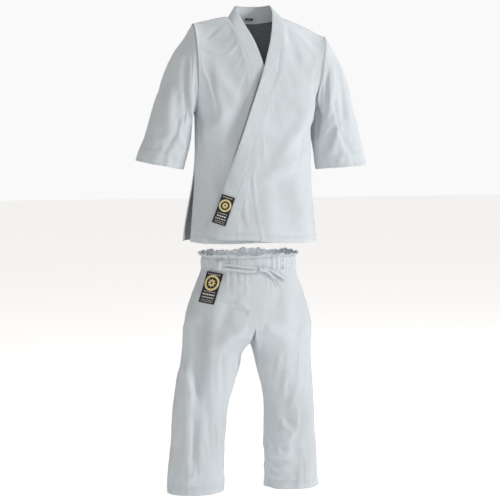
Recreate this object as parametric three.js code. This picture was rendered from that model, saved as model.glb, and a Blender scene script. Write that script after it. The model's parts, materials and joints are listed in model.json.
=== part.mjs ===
// A wrap-over martial arts jacket above its drawstring trousers, as worn.
// Millimetres, +Z up, the front towards -Y, the wearer's left towards +X.
// The origin is the middle of the waist, at the drawstring's level.
import * as THREE from 'three';

// ---- cloth ----
const CLOTH = 3;              // one plain panel
const HEM = 4;                // a folded and stitched hem
const BAND = 5;               // the stiffened lapel and collar band
const SEAM_GAP = 2;           // from a seam's middle to each panel's edge
const LAYER_GAP = 0.6;        // between cloth layers that lie on each other
const JOIN_GAP = 2;           // between two pieces that are sewn edge to edge
const FOLD_GAP = 4;           // round the strips that bend

// ---- jacket: overall sizes ----
const JACKET_PLACE = [5, -8, 0];
const HEM_Z = 85;
const HEM_HEIGHT = 26;
const SPLIT_Z = 690;          // where the lapels cross and the fronts come free
const NECK_Z = 865;           // the shoulder line at the neck
const BACK_NECK_DIP = 15;
const SHOULDER_ROUND = 110;
const ARMHOLE_DEPTH = 80;
const ARMHOLE_CLEARANCE = 6;
// height, half width, depth of the front, depth of the back
const TORSO = [[85, 226, 148, 126], [385, 204, 128, 112], [540, 206, 120, 112],
  [700, 222, 108, 106], [800, 230, 92, 98], [900, 230, 80, 90]];

// ---- jacket: the two sides, which the drape leaves a little unlike ----
const SIDES = {
  left: {
    sign: 1, tip: [262, 800], armpit: [210, 548], neck: 104, raise: 6.5,
    sleeve: [[0, 262, 800, 210, 548, 80], [0.3, 328, 700, 217, 505, 78],
      [0.65, 376, 545, 228, 430, 70], [1, 425, 357, 241, 335, 62]],
  },
  right: {
    sign: -1, tip: [212, 838], armpit: [204, 532], neck: 92, raise: 0,
    sleeve: [[0, 212, 838, 204, 532, 80], [0.3, 294, 717, 213, 490, 78],
      [0.65, 358, 540, 230, 420, 70], [1, 414, 373, 251, 333, 62]],
  },
};
const SLEEVE_HEAD_END = 0.36;
const SLEEVE_JOIN = 0.004;    // between a sleeve's pieces, as a share of its length
const CUFF_START = 0.88;

// ---- jacket: fronts and lapel band ----
const LAPEL_WIDTH = 52;
const OVER_EDGE_X = 16;       // the over lapel's edge where the lapels cross
const OVER_SLANT = 0.345;     // how far it goes across for each unit down
const UNDER_EDGE_X = 18;
const UNDER_SLANT = 0.12;
const FOLD_X = 150;           // the line about which a front opens
const FOLD_HALF = 22;
const NECK_CLEARANCE = 9;     // from a chest panel's top corner to the standing lapel
const COLLAR_TOP_Z = 906;
const COLLAR_TOP_HALF = 62;
const COLLAR_TOP_DEPTH = 55;

// ---- trousers ----
const TROUSERS_PLACE = [-5, 8, 0];
const FRILL_TOP_Z = 42;
const CASING_TOP_Z = 27;
const CASING_BOTTOM_Z = -17;
const CASING_LAYER = 2.2;
const STRING_THICK = 1.6;
const STRING_WIDTH = 10;
const STRING_Z = 4;
const CROTCH_Z = -216;
const THIGH_END_Z = -330;
const LEG_HEM_Z = -814;
const LEG_HEM_HEIGHT = 30;
// height, half width, depth of the front, depth of the back, middle's y
const SEAT = [[42, 178, 124, 112, 0], [27, 167, 115, 103, 0], [-17, 168, 116, 104, 0],
  [-70, 190, 122, 116, 2], [-130, 211, 126, 126, 5], [-212, 228, 122, 128, 8]];
// height, middle's x, half width, half depth, middle's y
const LEGS = {
  left: [[-216, 116, 112, 118, 10], [-330, 124, 106, 100, 14], [-530, 157, 93, 84, 20],
    [-814, 171, 100, 76, 26]],
  right: [[-216, 116, 112, 118, 10], [-330, 134, 106, 100, 14], [-530, 175, 98, 84, 20],
    [-814, 192, 101, 76, 26]],
};

// ---- drawstring, trim ----
const CORD_RADIUS = 3;
const CORD_LIFT = 5;
const KNOT = { x: 14, z: -10, radius: [11, 6, 9], lift: 7 };
const LEAD_UPPER = [[-112, 6], [-82, 5], [-50, 1], [-20, -4], [3, -8]];
const LEAD_LOWER = [[-112, -6], [-84, -10], [-50, -15], [-22, -17], [0, -16]];
const END_LOWER = [[24, -13], [42, -22], [58, -36], [72, -52], [84, -68]];
const END_UPPER = [[26, -6], [46, -12], [68, -24], [90, -38], [108, -50]];
const PATCH_THICK = 1;
const PATCH_GAP = 3;          // over the curve of the cloth beneath
const JACKET_PATCH = { corner: 152, height: 102, inset: 4, width: 43 };    // leans with the lapel
const TROUSERS_PATCH = { top: -19, bottom: -125, topX: -156, bottomX: -190, width: 45, drop: 7 };
const TIE = { width: 18, thick: 2, top: 255, bottom: 120, clearance: 9 };
const LABEL = { width: 30, height: 10, thick: 0.8, clearance: 9 };

// ---- materials ----
const cotton = new THREE.MeshStandardMaterial({ color: 0xdfe5ea, roughness: 0.92, metalness: 0 });
const band = new THREE.MeshStandardMaterial({ color: 0xe3e8ec, roughness: 0.9, metalness: 0 });
const tape = new THREE.MeshStandardMaterial({ color: 0xd9dfe4, roughness: 0.95, metalness: 0 });
const badge = new THREE.MeshStandardMaterial({ color: 0x17171a, roughness: 0.7, metalness: 0 });

// A value that runs smoothly through rows of [place, value, ...], read at one place.
function through(rows, place, column) {
  const last = rows.length - 1;
  const rising = rows[last][0] > rows[0][0] ? 1 : -1;
  let i = 0;
  while (i < last - 1 && rising * (place - rows[i + 1][0]) > 0) i += 1;
  const at = (k) => rows[Math.min(Math.max(k, 0), last)];
  const slope = (k) => {
    const [before, after] = [at(k - 1), at(k + 1)];
    return (after[column] - before[column]) / (after[0] - before[0]);
  };
  const span = at(i + 1)[0] - at(i)[0];
  const t = THREE.MathUtils.clamp((place - at(i)[0]) / span, 0, 1);
  const [t2, t3] = [t * t, t * t * t];
  return (2 * t3 - 3 * t2 + 1) * at(i)[column] + (t3 - 2 * t2 + t) * span * slope(i)
    + (3 * t2 - 2 * t3) * at(i + 1)[column] + (t3 - t2) * span * slope(i + 1);
}

const mix = THREE.MathUtils.lerp;

// A cloth piece as one closed shell. point(u, v) is the cloth's surface, u runs round and v up,
// and the shell reaches from `outer` down to `outer - thick` along the surface's normal.
function shell(point, columns, rows, thick, outer = 0, round = false) {
  const STEP = 1e-3;
  const across = round ? columns : columns + 1;
  const faces = [[], []];
  for (let j = 0; j <= rows; j += 1) {
    for (let i = 0; i < across; i += 1) {
      const [u, v] = [i / columns, j / rows];
      const [u0, u1] = round ? [u - STEP, u + STEP] : [Math.max(u - STEP, 0), Math.min(u + STEP, 1)];
      const [v0, v1] = [Math.max(v - STEP, 0), Math.min(v + STEP, 1)];
      const alongU = point(u1, v).sub(point(u0, v));
      const alongV = point(u, v1).sub(point(u, v0));
      const normal = alongU.cross(alongV).normalize();
      const place = point(u, v);
      faces[0].push(place.clone().addScaledVector(normal, outer));
      faces[1].push(place.clone().addScaledVector(normal, outer - thick));
    }
  }
  const count = faces[0].length;
  const positions = faces.flat().flatMap((p) => p.toArray());
  const index = [];
  const quad = (a, b, c, d) => index.push(a, b, c, a, c, d);
  const at = (i, j, layer) => layer * count + j * across + (i % across);
  for (let j = 0; j < rows; j += 1) {
    for (let i = 0; i < columns; i += 1) {
      quad(at(i, j, 0), at(i + 1, j, 0), at(i + 1, j + 1, 0), at(i, j + 1, 0));
      quad(at(i, j, 1), at(i, j + 1, 1), at(i + 1, j + 1, 1), at(i + 1, j, 1));
    }
  }
  for (let i = 0; i < columns; i += 1) {
    quad(at(i, 0, 0), at(i, 0, 1), at(i + 1, 0, 1), at(i + 1, 0, 0));
    quad(at(i, rows, 0), at(i + 1, rows, 0), at(i + 1, rows, 1), at(i, rows, 1));
  }
  for (let j = 0; j < rows && !round; j += 1) {
    quad(at(0, j, 0), at(0, j + 1, 0), at(0, j + 1, 1), at(0, j, 1));
    quad(at(columns, j, 0), at(columns, j, 1), at(columns, j + 1, 1), at(columns, j + 1, 0));
  }
  const geometry = new THREE.BufferGeometry();
  geometry.setAttribute('position', new THREE.Float32BufferAttribute(positions, 3));
  geometry.setIndex(index);
  return geometry;
}

const uniform = new THREE.Group();
const jacket = new THREE.Group();
jacket.position.fromArray(JACKET_PLACE);
const trousers = new THREE.Group();
trousers.position.fromArray(TROUSERS_PLACE);
uniform.add(jacket, trousers);

function add(group, name, geometry, material = cotton) {
  const mesh = new THREE.Mesh(geometry, material);
  mesh.name = name;
  group.add(mesh);
  return mesh;
}

// ---- the jacket's body as depths in front of and behind the side seams ----
const sideOf = (x) => (x < 0 ? SIDES.right : SIDES.left);

function bodyEdge(z, side) {
  const [armpitX, armpitZ] = side.armpit;
  const [tipX, tipZ] = side.tip;
  if (z <= armpitZ) return Math.min(through(TORSO, z, 1), mix(through(TORSO, z, 1), armpitX, z / armpitZ));
  const up = THREE.MathUtils.clamp((z - armpitZ) / (tipZ - armpitZ), 0, 1);
  return mix(armpitX, tipX, up ** 1.3);
}

function shoulderZ(x, side) {
  const out = THREE.MathUtils.clamp((Math.abs(x) - side.neck) / (side.tip[0] - side.neck), 0, 1);
  return mix(NECK_Z, side.tip[1], out ** 1.2);
}

function bodyDepth(x, z, column) {
  const side = sideOf(x);
  const [, armpitZ] = side.armpit;
  const up = THREE.MathUtils.clamp((z - armpitZ) / (side.tip[1] - armpitZ), 0, 1);
  const atEdge = ARMHOLE_DEPTH * 2 * Math.sqrt(up * (1 - up));
  const below = THREE.MathUtils.clamp((shoulderZ(x, side) - z) / SHOULDER_ROUND, 0, 1);
  const atMiddle = through(TORSO, z, column) * Math.sqrt(1 - (1 - below) ** 2);
  const out = Math.min(Math.abs(x) / bodyEdge(z, side), 1);
  const fall = (1 - out ** 2.4) ** mix(0.45, 1, THREE.MathUtils.smoothstep(up, 0, 0.5));
  return mix(atEdge, atMiddle, fall);
}

const onFront = (x, z) => new THREE.Vector3(x, -SEAM_GAP - bodyDepth(x, z, 2), z);
const onBack = (x, z) => new THREE.Vector3(x, SEAM_GAP + bodyDepth(x, z, 3), z);

const overEdge = (z) => OVER_EDGE_X - (SPLIT_Z - z) * OVER_SLANT;
const underEdge = (z) => UNDER_EDGE_X + (SPLIT_Z - z) * UNDER_SLANT;
const FLAP_TOP_Z = SPLIT_Z - FOLD_GAP / 2;
const CHEST_BOTTOM_Z = SPLIT_Z + FOLD_GAP / 2;
const HEM_TOP_Z = HEM_Z + HEM_HEIGHT;

// A panel of a front between two upright lines that may lean.
function frontPanel(from, to, bottom, top, columns, rows, thick, raise) {
  const point = (u, v) => {
    const z = mix(bottom, top, v);
    return onFront(mix(from(z), to(z), u), z);
  };
  return shell(point, columns, rows, thick, raise);
}

// ---- the two fronts ----
for (const [name, side] of Object.entries(SIDES)) {
  const over = side.sign > 0;
  const edge = over ? overEdge : underEdge;
  const seam = (z) => edge(z) + side.sign * LAPEL_WIDTH;
  const joined = (z) => seam(z) + side.sign * JOIN_GAP;
  const foldIn = () => side.sign * (FOLD_X - FOLD_HALF);
  const foldOut = () => side.sign * (FOLD_X + FOLD_HALF);
  const inOrder = (a, b) => (over ? [a, b] : [b, a]);
  const front = (a, b, ...rest) => frontPanel(...inOrder(a, b), ...rest);

  // the side part, from the bending strip to the side seam and the armhole
  const sidePart = (bottom, top, rows, thick, raise) => {
    const point = (u, v) => {
      const z = mix(bottom, top, v);
      const reach = bodyEdge(z, side);
      const start = Math.asin((FOLD_X + FOLD_HALF + JOIN_GAP) / reach);
      const turn = mix(start, Math.PI / 2, over ? u : 1 - u);
      return onFront(side.sign * reach * Math.sin(turn), z);
    };
    return shell(point, 4, rows, thick, raise);
  };
  add(jacket, `${name}_front_side`,
    sidePart(HEM_TOP_Z + JOIN_GAP, FLAP_TOP_Z, 9, CLOTH, side.raise));
  add(jacket, `${name}_side_hem`, sidePart(HEM_Z, HEM_TOP_Z, 1, HEM, side.raise + LAYER_GAP), band);
  add(jacket, `${name}_front_fold`, front((z) => foldIn(z) + side.sign * JOIN_GAP, foldOut,
    HEM_Z, FLAP_TOP_Z, 2, 9, CLOTH, side.raise));

  // the part that opens, with its hem and its half of the lapel band
  add(jacket, `${name}_front_flap`, front(joined, foldIn, HEM_TOP_Z + JOIN_GAP, FLAP_TOP_Z,
    8, 8, CLOTH, side.raise));
  add(jacket, `${name}_flap_hem`, front(joined, foldIn, HEM_Z, HEM_TOP_Z, 8, 1,
    over ? CLOTH : HEM, side.raise), band);
  const lapelRaise = over ? side.raise + 2 : side.raise + LAYER_GAP;
  add(jacket, `${name}_lapel`, front(edge, seam, HEM_Z, FLAP_TOP_Z, 3, 10,
    over ? BAND : HEM, lapelRaise), band);

  // the chest above the crossing, from the lapel's seam to the armhole and up to the shoulder
  const crossingSeam = Math.abs(seam(SPLIT_Z));
  const chestSeam = (z) => mix(crossingSeam, side.neck, (z - SPLIT_Z) / (NECK_Z - SPLIT_Z));
  const chest = (u, v) => {
    const out = over ? u : 1 - u;
    const topX = mix(side.neck, side.tip[0], out);
    const z = mix(CHEST_BOTTOM_Z, shoulderZ(topX, side), Math.sin(v * Math.PI / 2));
    const x = mix(chestSeam(z) + JOIN_GAP + NECK_CLEARANCE * v * v, bodyEdge(z, side), out);
    return onFront(side.sign * x, z);
  };
  add(jacket, `${name}_chest`, shell(chest, 6, 7, CLOTH, side.raise));

  // the lapel from the crossing up to the neck, standing away from it
  const crossingEdge = edge(CHEST_BOTTOM_Z);
  const edgeLine = new THREE.CatmullRomCurve3([
    onFront(crossingEdge, CHEST_BOTTOM_Z),
    onFront(crossingEdge + side.sign * (over ? 25 : 32), CHEST_BOTTOM_Z + 90),
    new THREE.Vector3(side.sign * (COLLAR_TOP_HALF - (over ? 0 : 8)), -38, NECK_Z + 3),
    new THREE.Vector3(side.sign * COLLAR_TOP_HALF, -5, COLLAR_TOP_Z),
  ]);
  const upperLapel = (u, v) => {
    const z = mix(CHEST_BOTTOM_Z, NECK_Z - 1, v);
    const atSeam = onFront(side.sign * chestSeam(z), z);
    const atEdge = edgeLine.getPoint(v);
    return atEdge.lerp(atSeam, over ? u : 1 - u);
  };
  add(jacket, `${name}_upper_lapel`, shell(upperLapel, 3, 6, over ? BAND : HEM, lapelRaise), band);
}

// ---- the back ----
function backTop(x) {
  const side = sideOf(x);
  const out = Math.min(Math.abs(x) / side.neck, 1);
  return out < 1 ? NECK_Z - BACK_NECK_DIP * (1 - out ** 2) : shoulderZ(x, side);
}

function backPoint(u, z) {
  const turn = Math.cos(Math.PI * u);
  return onBack(turn * bodyEdge(z, turn < 0 ? SIDES.right : SIDES.left), z);
}

const backPanel = (u, v) => {
  const turn = Math.cos(Math.PI * u);
  const top = backTop(turn * (turn < 0 ? SIDES.right : SIDES.left).tip[0]);
  return backPoint(u, mix(HEM_TOP_Z + JOIN_GAP, top, Math.sin(v * Math.PI / 2)));
};
add(jacket, 'back_panel', shell(backPanel, 16, 11, CLOTH));
add(jacket, 'back_hem', shell((u, v) => backPoint(u, mix(HEM_Z, HEM_TOP_Z, v)), 16, 1, HEM, LAYER_GAP),
  band);

// ---- the collar, which joins the two lapels round the back of the neck ----
const collar = (u, v) => {
  const turn = mix(Math.PI / 2, -Math.PI / 2, u);
  const side = turn < 0 ? SIDES.right : SIDES.left;
  const x = Math.sin(turn) * side.neck;
  const foot = onBack(x, backTop(x));
  foot.z += CLOTH + LAYER_GAP;
  const rim = new THREE.Vector3(Math.sin(turn) * COLLAR_TOP_HALF,
    COLLAR_TOP_DEPTH * Math.cos(turn) + 1, COLLAR_TOP_Z);
  return foot.lerp(rim, v);
};
add(jacket, 'collar', shell(collar, 14, 2, HEM), band);

// ---- sleeves: a head that bends at the shoulder, the sleeve and its cuff ----
for (const [name, side] of Object.entries(SIDES)) {
  const tube = (from, to, rows, thick, raise) => {
    const point = (u, v) => {
      const along = mix(from, to, v);
      const read = (column) => through(side.sleeve, along, column);
      const top = new THREE.Vector3(side.sign * (read(1) + ARMHOLE_CLEARANCE), 0, read(2));
      const under = new THREE.Vector3(side.sign * (read(3) + ARMHOLE_CLEARANCE), 0, read(4));
      const turn = 2 * Math.PI * u * side.sign;
      const place = under.clone().add(top).multiplyScalar(0.5);
      place.addScaledVector(top.sub(under), 0.5 * Math.cos(turn));
      place.y += read(5) * Math.sin(turn);
      return place;
    };
    return shell(point, 16, rows, thick, raise, true);
  };
  add(jacket, `${name}_sleeve_head`, tube(SLEEVE_HEAD_END - SLEEVE_JOIN, 0, 3, CLOTH, 0));
  add(jacket, `${name}_sleeve`, tube(CUFF_START - SLEEVE_JOIN, SLEEVE_HEAD_END, 4, CLOTH, 0));
  add(jacket, `${name}_cuff`, tube(1, CUFF_START, 1, HEM, LAYER_GAP), band);
}

// ---- trim on and in the jacket ----
const patchTop = SIDES.left.raise + PATCH_GAP + PATCH_GAP;
const lean = Math.atan(OVER_SLANT);
const lapelPatch = (u, v) => {
  const [across, up] = [u * JACKET_PATCH.width, v * JACKET_PATCH.height];
  const x = overEdge(JACKET_PATCH.corner) + JACKET_PATCH.inset;
  return onFront(x + across * Math.cos(lean) + up * Math.sin(lean),
    JACKET_PATCH.corner - across * Math.sin(lean) + up * Math.cos(lean));
};
add(jacket, 'jacket_patch', shell(lapelPatch, 3, 4, PATCH_THICK, patchTop), badge);

function hangingTie(x, y) {
  const geometry = new THREE.BoxGeometry(TIE.width, TIE.thick, TIE.top - TIE.bottom);
  geometry.translate(x, y, (TIE.top + TIE.bottom) / 2);
  return geometry;
}
const underTieX = underEdge(TIE.bottom) - LAPEL_WIDTH;
add(jacket, 'inner_tie_front',
  hangingTie(underTieX, TIE.clearance - bodyDepth(underTieX, TIE.top, 2)), tape);
const sideTieX = SIDES.left.armpit[0] - 3 * TIE.clearance;
add(jacket, 'inner_tie_side', hangingTie(sideTieX, 2 * TIE.clearance), tape);

const label = new THREE.BoxGeometry(LABEL.width, LABEL.thick, LABEL.height);
const labelY = onBack(0, backTop(0)).y - CLOTH - LABEL.clearance;
label.translate(0, labelY, backTop(0) + LABEL.height);
add(jacket, 'size_label', label, badge);

// ---- trousers: rings of the seat and the waist ----
const SQUARENESS = 2.3;
const bulge = (value) => Math.sign(value) * Math.abs(value) ** (2 / SQUARENESS);

// u runs from the right side over the front to the left side and back.
function seatPoint(u, z) {
  const turn = 2 * Math.PI * u;
  const read = (column) => through(SEAT, z, column);
  const depth = Math.sin(turn) > 0 ? read(2) : read(3);
  return new THREE.Vector3(-read(1) * bulge(Math.cos(turn)),
    read(4) - depth * bulge(Math.sin(turn)), z);
}
const seatFront = (x, z) => {
  const turn = Math.acos(THREE.MathUtils.clamp(bulgeBack(-x / through(SEAT, z, 1)), -1, 1));
  return seatPoint(turn / (2 * Math.PI), z);
};
function bulgeBack(value) {
  return Math.sign(value) * Math.abs(value) ** (SQUARENESS / 2);
}
const waistRing = (bottom, top, rows, thick, raise = 0) => shell(
  (u, v) => seatPoint(u, mix(bottom, top, v)), 28, rows, thick, raise, true);

add(trousers, 'waist_frill', waistRing(CASING_TOP_Z + JOIN_GAP, FRILL_TOP_Z, 1, CLOTH), band);
add(trousers, 'waistband_outer', waistRing(CASING_BOTTOM_Z, CASING_TOP_Z, 2, CASING_LAYER), band);
const stringDepth = CASING_LAYER + LAYER_GAP;
add(trousers, 'drawstring_in_channel', waistRing(STRING_Z - STRING_WIDTH / 2,
  STRING_Z + STRING_WIDTH / 2, 1, STRING_THICK, -stringDepth), tape);
const liningDepth = stringDepth + STRING_THICK + LAYER_GAP;
add(trousers, 'waistband_inner', waistRing(CASING_BOTTOM_Z, CASING_TOP_Z, 2, CASING_LAYER,
  -liningDepth), band);

// Half a ring of the seat, in front (from 0 to a half turn) or behind.
function seatHalf(start) {
  const point = (u, v) => {
    const edgeGap = SEAM_GAP / 600;
    const turn = start + mix(edgeGap, 0.5 - edgeGap, u);
    return seatPoint(turn, mix(CROTCH_Z + 2 * FOLD_GAP, CASING_BOTTOM_Z - JOIN_GAP, v));
  };
  return shell(point, 14, 5, CLOTH);
}
add(trousers, 'seat_front', seatHalf(0));
add(trousers, 'seat_back', seatHalf(0.5));

// The gusset runs between the legs from the front to the back.
const GUSSET_HALF = 26;
const GUSSET_END_GAP = 6;
const gusset = (u, v) => {
  const along = mix(-1, 1, v);
  const reach = along < 0 ? through(SEAT, CROTCH_Z, 2) : through(SEAT, CROTCH_Z, 3);
  return new THREE.Vector3(mix(GUSSET_HALF, -GUSSET_HALF, u), (reach - CLOTH - GUSSET_END_GAP) * along + 8,
    CROTCH_Z + FOLD_GAP + 2 * along ** 2);
};
add(trousers, 'crotch_gusset', shell(gusset, 2, 6, CLOTH));

// ---- legs: a thigh band that bends, the leg's front and back, and its hem ----
for (const [name, side] of Object.entries(SIDES)) {
  const legPoint = (u, z) => {
    const turn = 2 * Math.PI * u;
    const read = (column) => through(LEGS[name], z, column);
    return new THREE.Vector3(side.sign * read(1) - read(2) * bulge(Math.cos(turn)),
      read(4) - read(3) * bulge(Math.sin(turn)), z);
  };
  const ring = (bottom, top, rows, thick, raise) => shell(
    (u, v) => legPoint(u, mix(bottom, top, v)), 20, rows, thick, raise, true);
  const half = (start) => shell((u, v) => {
    const edgeGap = SEAM_GAP / 300;
    return legPoint(start + mix(edgeGap, 0.5 - edgeGap, u),
      mix(LEG_HEM_Z + LEG_HEM_HEIGHT + JOIN_GAP, THIGH_END_Z, v));
  }, 10, 5, CLOTH);
  add(trousers, `${name}_thigh`, ring(THIGH_END_Z + FOLD_GAP, CROTCH_Z - JOIN_GAP, 3, CLOTH, 0));
  add(trousers, `${name}_leg_front`, half(0));
  add(trousers, `${name}_leg_back`, half(0.5));
  add(trousers, `${name}_leg_hem`, ring(LEG_HEM_Z, LEG_HEM_Z + LEG_HEM_HEIGHT, 1, HEM, LAYER_GAP),
    band);
}

// ---- drawstring: two leads from the casing to the knot, and two loose ends ----
const overBelly = ([x, z], lift = CORD_LIFT) => {
  const place = seatFront(x, z);
  const ahead = seatFront(x + 1, z).sub(place);
  const normal = ahead.cross(new THREE.Vector3(0, 0, 1)).normalize();
  return place.addScaledVector(normal, lift);
};

function cord(route) {
  const path = new THREE.CatmullRomCurve3(route.map((p) => overBelly(p)));
  const section = new THREE.Shape();
  section.absarc(0, 0, CORD_RADIUS, 0, 2 * Math.PI);
  return new THREE.ExtrudeGeometry(section, {
    extrudePath: path, steps: 10, curveSegments: 4, bevelEnabled: false });
}
for (const [name, route] of Object.entries({
  drawstring_lead_upper: LEAD_UPPER, drawstring_lead_lower: LEAD_LOWER,
  drawstring_end_lower: END_LOWER, drawstring_end_upper: END_UPPER })) {
  add(trousers, name, cord(route), tape);
}
const knot = new THREE.SphereGeometry(1, 12, 8);
knot.scale(...KNOT.radius);
const knotPlace = overBelly([KNOT.x, KNOT.z], KNOT.lift);
knot.translate(knotPlace.x, knotPlace.y, knotPlace.z);
add(trousers, 'drawstring_knot', knot, tape);

// ---- the patch on the right hip ----
const hipPatch = (u, v) => {
  const z = mix(TROUSERS_PATCH.bottom, TROUSERS_PATCH.top, v) - u * TROUSERS_PATCH.drop;
  const x = mix(TROUSERS_PATCH.bottomX, TROUSERS_PATCH.topX, v);
  return seatFront(x + u * TROUSERS_PATCH.width, z);
};
add(trousers, 'trousers_patch', shell(hipPatch, 5, 6, PATCH_THICK, PATCH_GAP + PATCH_THICK), badge);

export default uniform;
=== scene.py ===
"""A wrap-over martial arts jacket and its drawstring trousers, in white cotton, around the packed frame."""
import json
import math

import bpy
import numpy as np
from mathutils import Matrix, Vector, noise

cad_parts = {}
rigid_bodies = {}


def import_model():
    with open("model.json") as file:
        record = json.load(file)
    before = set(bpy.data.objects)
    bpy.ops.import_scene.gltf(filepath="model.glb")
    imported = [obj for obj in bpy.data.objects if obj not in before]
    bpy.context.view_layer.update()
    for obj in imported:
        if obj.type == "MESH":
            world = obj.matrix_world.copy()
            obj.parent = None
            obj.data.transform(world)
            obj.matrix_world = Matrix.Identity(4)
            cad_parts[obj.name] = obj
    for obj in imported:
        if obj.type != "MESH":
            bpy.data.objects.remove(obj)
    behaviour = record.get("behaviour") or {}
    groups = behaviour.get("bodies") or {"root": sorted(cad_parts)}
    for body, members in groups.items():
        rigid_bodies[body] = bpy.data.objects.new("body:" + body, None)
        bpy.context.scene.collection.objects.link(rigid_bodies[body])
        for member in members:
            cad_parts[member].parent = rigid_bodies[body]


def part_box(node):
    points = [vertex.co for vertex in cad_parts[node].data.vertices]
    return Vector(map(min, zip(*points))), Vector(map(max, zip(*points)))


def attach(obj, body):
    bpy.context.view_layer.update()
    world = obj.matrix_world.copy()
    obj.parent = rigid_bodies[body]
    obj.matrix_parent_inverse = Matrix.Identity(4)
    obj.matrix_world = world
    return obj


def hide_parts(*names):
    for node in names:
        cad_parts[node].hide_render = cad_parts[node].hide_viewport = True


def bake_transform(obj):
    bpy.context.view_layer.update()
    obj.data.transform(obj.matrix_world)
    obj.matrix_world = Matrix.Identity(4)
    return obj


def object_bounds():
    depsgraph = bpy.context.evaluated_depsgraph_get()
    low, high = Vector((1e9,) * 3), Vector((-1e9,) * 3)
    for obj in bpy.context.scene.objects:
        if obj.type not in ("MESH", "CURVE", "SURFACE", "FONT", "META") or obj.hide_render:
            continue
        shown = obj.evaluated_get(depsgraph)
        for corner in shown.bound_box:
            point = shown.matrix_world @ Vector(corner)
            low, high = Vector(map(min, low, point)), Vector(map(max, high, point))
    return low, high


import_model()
cad_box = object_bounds()

bl_info = {
    "name": "Martial arts uniform",
    "version": (1, 0, 0),
    "blender": (4, 5, 0),
    "location": "View3D > Sidebar > Uniform",
    "description": "Makes a wrap-over cotton jacket and drawstring trousers as separate cloth pieces",
    "category": "Add Mesh",
}

# ---- sizes in metres, as the frame has them ----
JACKET_PLACE = np.array((0.005, -0.008, 0.0))
TROUSERS_PLACE = np.array((-0.005, 0.008, 0.0))
HEM_Z, HEM_HEIGHT, VENT_TOP_Z = 0.085, 0.026, 0.385
PANEL_LENGTH = 0.80
SPLIT_Z, NECK_Z = 0.690, 0.865
BACK_NECK_DIP, SHOULDER_ROUND, ARMHOLE_DEPTH = 0.015, 0.110, 0.080
# height, half width, depth of the front, depth of the back
TORSO = [(0.085, 0.226, 0.148, 0.126), (0.385, 0.204, 0.128, 0.112), (0.540, 0.206, 0.120, 0.112),
         (0.700, 0.222, 0.108, 0.106), (0.800, 0.230, 0.092, 0.098), (0.900, 0.230, 0.080, 0.090)]
SIDES = {
    "left": {"sign": 1, "tip": (0.262, 0.800), "armpit": (0.210, 0.548), "neck": 0.104,
             "raise": 0.0055, "body": "left_arm",
             "sleeve": [(0, 0.262, 0.800, 0.210, 0.548, 0.080), (0.3, 0.328, 0.700, 0.217, 0.505, 0.078),
                        (0.65, 0.376, 0.545, 0.228, 0.430, 0.070), (1, 0.425, 0.357, 0.241, 0.335, 0.062)]},
    "right": {"sign": -1, "tip": (0.212, 0.838), "armpit": (0.204, 0.532), "neck": 0.092,
              "raise": 0.0, "body": "right_arm",
              "sleeve": [(0, 0.212, 0.838, 0.204, 0.532, 0.080), (0.3, 0.294, 0.717, 0.213, 0.490, 0.078),
                         (0.65, 0.358, 0.540, 0.230, 0.420, 0.070), (1, 0.414, 0.373, 0.251, 0.333, 0.062)]},
}
LAPEL_WIDTH = 0.052
OVER_EDGE_X, OVER_SLANT = 0.016, 0.345
UNDER_EDGE_X, UNDER_SLANT = 0.018, 0.12
COLLAR_TOP_Z, COLLAR_TOP_HALF, COLLAR_TOP_DEPTH, COLLAR_LIFT = 0.906, 0.062, 0.055, 0.0040

FRILL_TOP_Z, CASING_TOP_Z, CASING_BOTTOM_Z = 0.042, 0.027, -0.017
CROTCH_Z, THIGH_END_Z, LEG_HEM_Z, LEG_HEM_HEIGHT = -0.216, -0.330, -0.814, 0.030
STRING_Z = 0.004
WAIST_LAMP = 0.15
SEAT = [(0.042, 0.178, 0.124, 0.112, 0), (0.027, 0.167, 0.115, 0.103, 0), (-0.017, 0.168, 0.116, 0.104, 0),
        (-0.070, 0.190, 0.122, 0.116, 0.002), (-0.130, 0.211, 0.126, 0.126, 0.005),
        (-0.212, 0.228, 0.122, 0.128, 0.008), (-0.300, 0.234, 0.118, 0.124, 0.010)]
LEGS = {
    "left": [(-0.216, 0.116, 0.112, 0.118, 0.010), (-0.330, 0.124, 0.106, 0.100, 0.014),
             (-0.530, 0.157, 0.093, 0.084, 0.020), (-0.814, 0.171, 0.100, 0.076, 0.026)],
    "right": [(-0.216, 0.116, 0.112, 0.118, 0.010), (-0.330, 0.134, 0.106, 0.100, 0.014),
              (-0.530, 0.175, 0.098, 0.084, 0.020), (-0.814, 0.192, 0.101, 0.076, 0.026)],
}
SQUARENESS = 2.3
SPLIT_LENGTH = 0.115          # below the crotch, where the legs draw apart
BUTTONHOLE_X = 0.098
GUSSET_HALF = 0.026

CLOTH = 0.0014                # one layer of the heavy cotton
HEM = 0.0036                  # a turned and stitched hem
BAND = 0.0042                 # the lapel's stiffened layers
WIDTH_OF_TAPE = 0.0102
THICKNESS_OF_TAPE = 0.0026
TAPE_LIFT = 0.0058

# across and up over the belly, in the seat's own front view
LEAD_UPPER = [(-0.112, 0.006), (-0.082, 0.005), (-0.050, 0.001), (-0.020, -0.004), (0.003, -0.008)]
LEAD_LOWER = [(-0.112, -0.006), (-0.084, -0.010), (-0.050, -0.015), (-0.022, -0.017), (0.000, -0.016)]
END_LOWER = [(0.024, -0.013), (0.042, -0.022), (0.058, -0.036), (0.072, -0.052), (0.084, -0.068)]
END_UPPER = [(0.026, -0.006), (0.046, -0.012), (0.068, -0.024), (0.090, -0.038), (0.108, -0.050)]
KNOT_AT, KNOT_LIFT = (0.014, -0.010), 0.007

JACKET_BADGE = (0.043, 0.102)
BADGE_LIFT, TROUSERS_BADGE_LIFT = 0.0084, 0.0058


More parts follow.
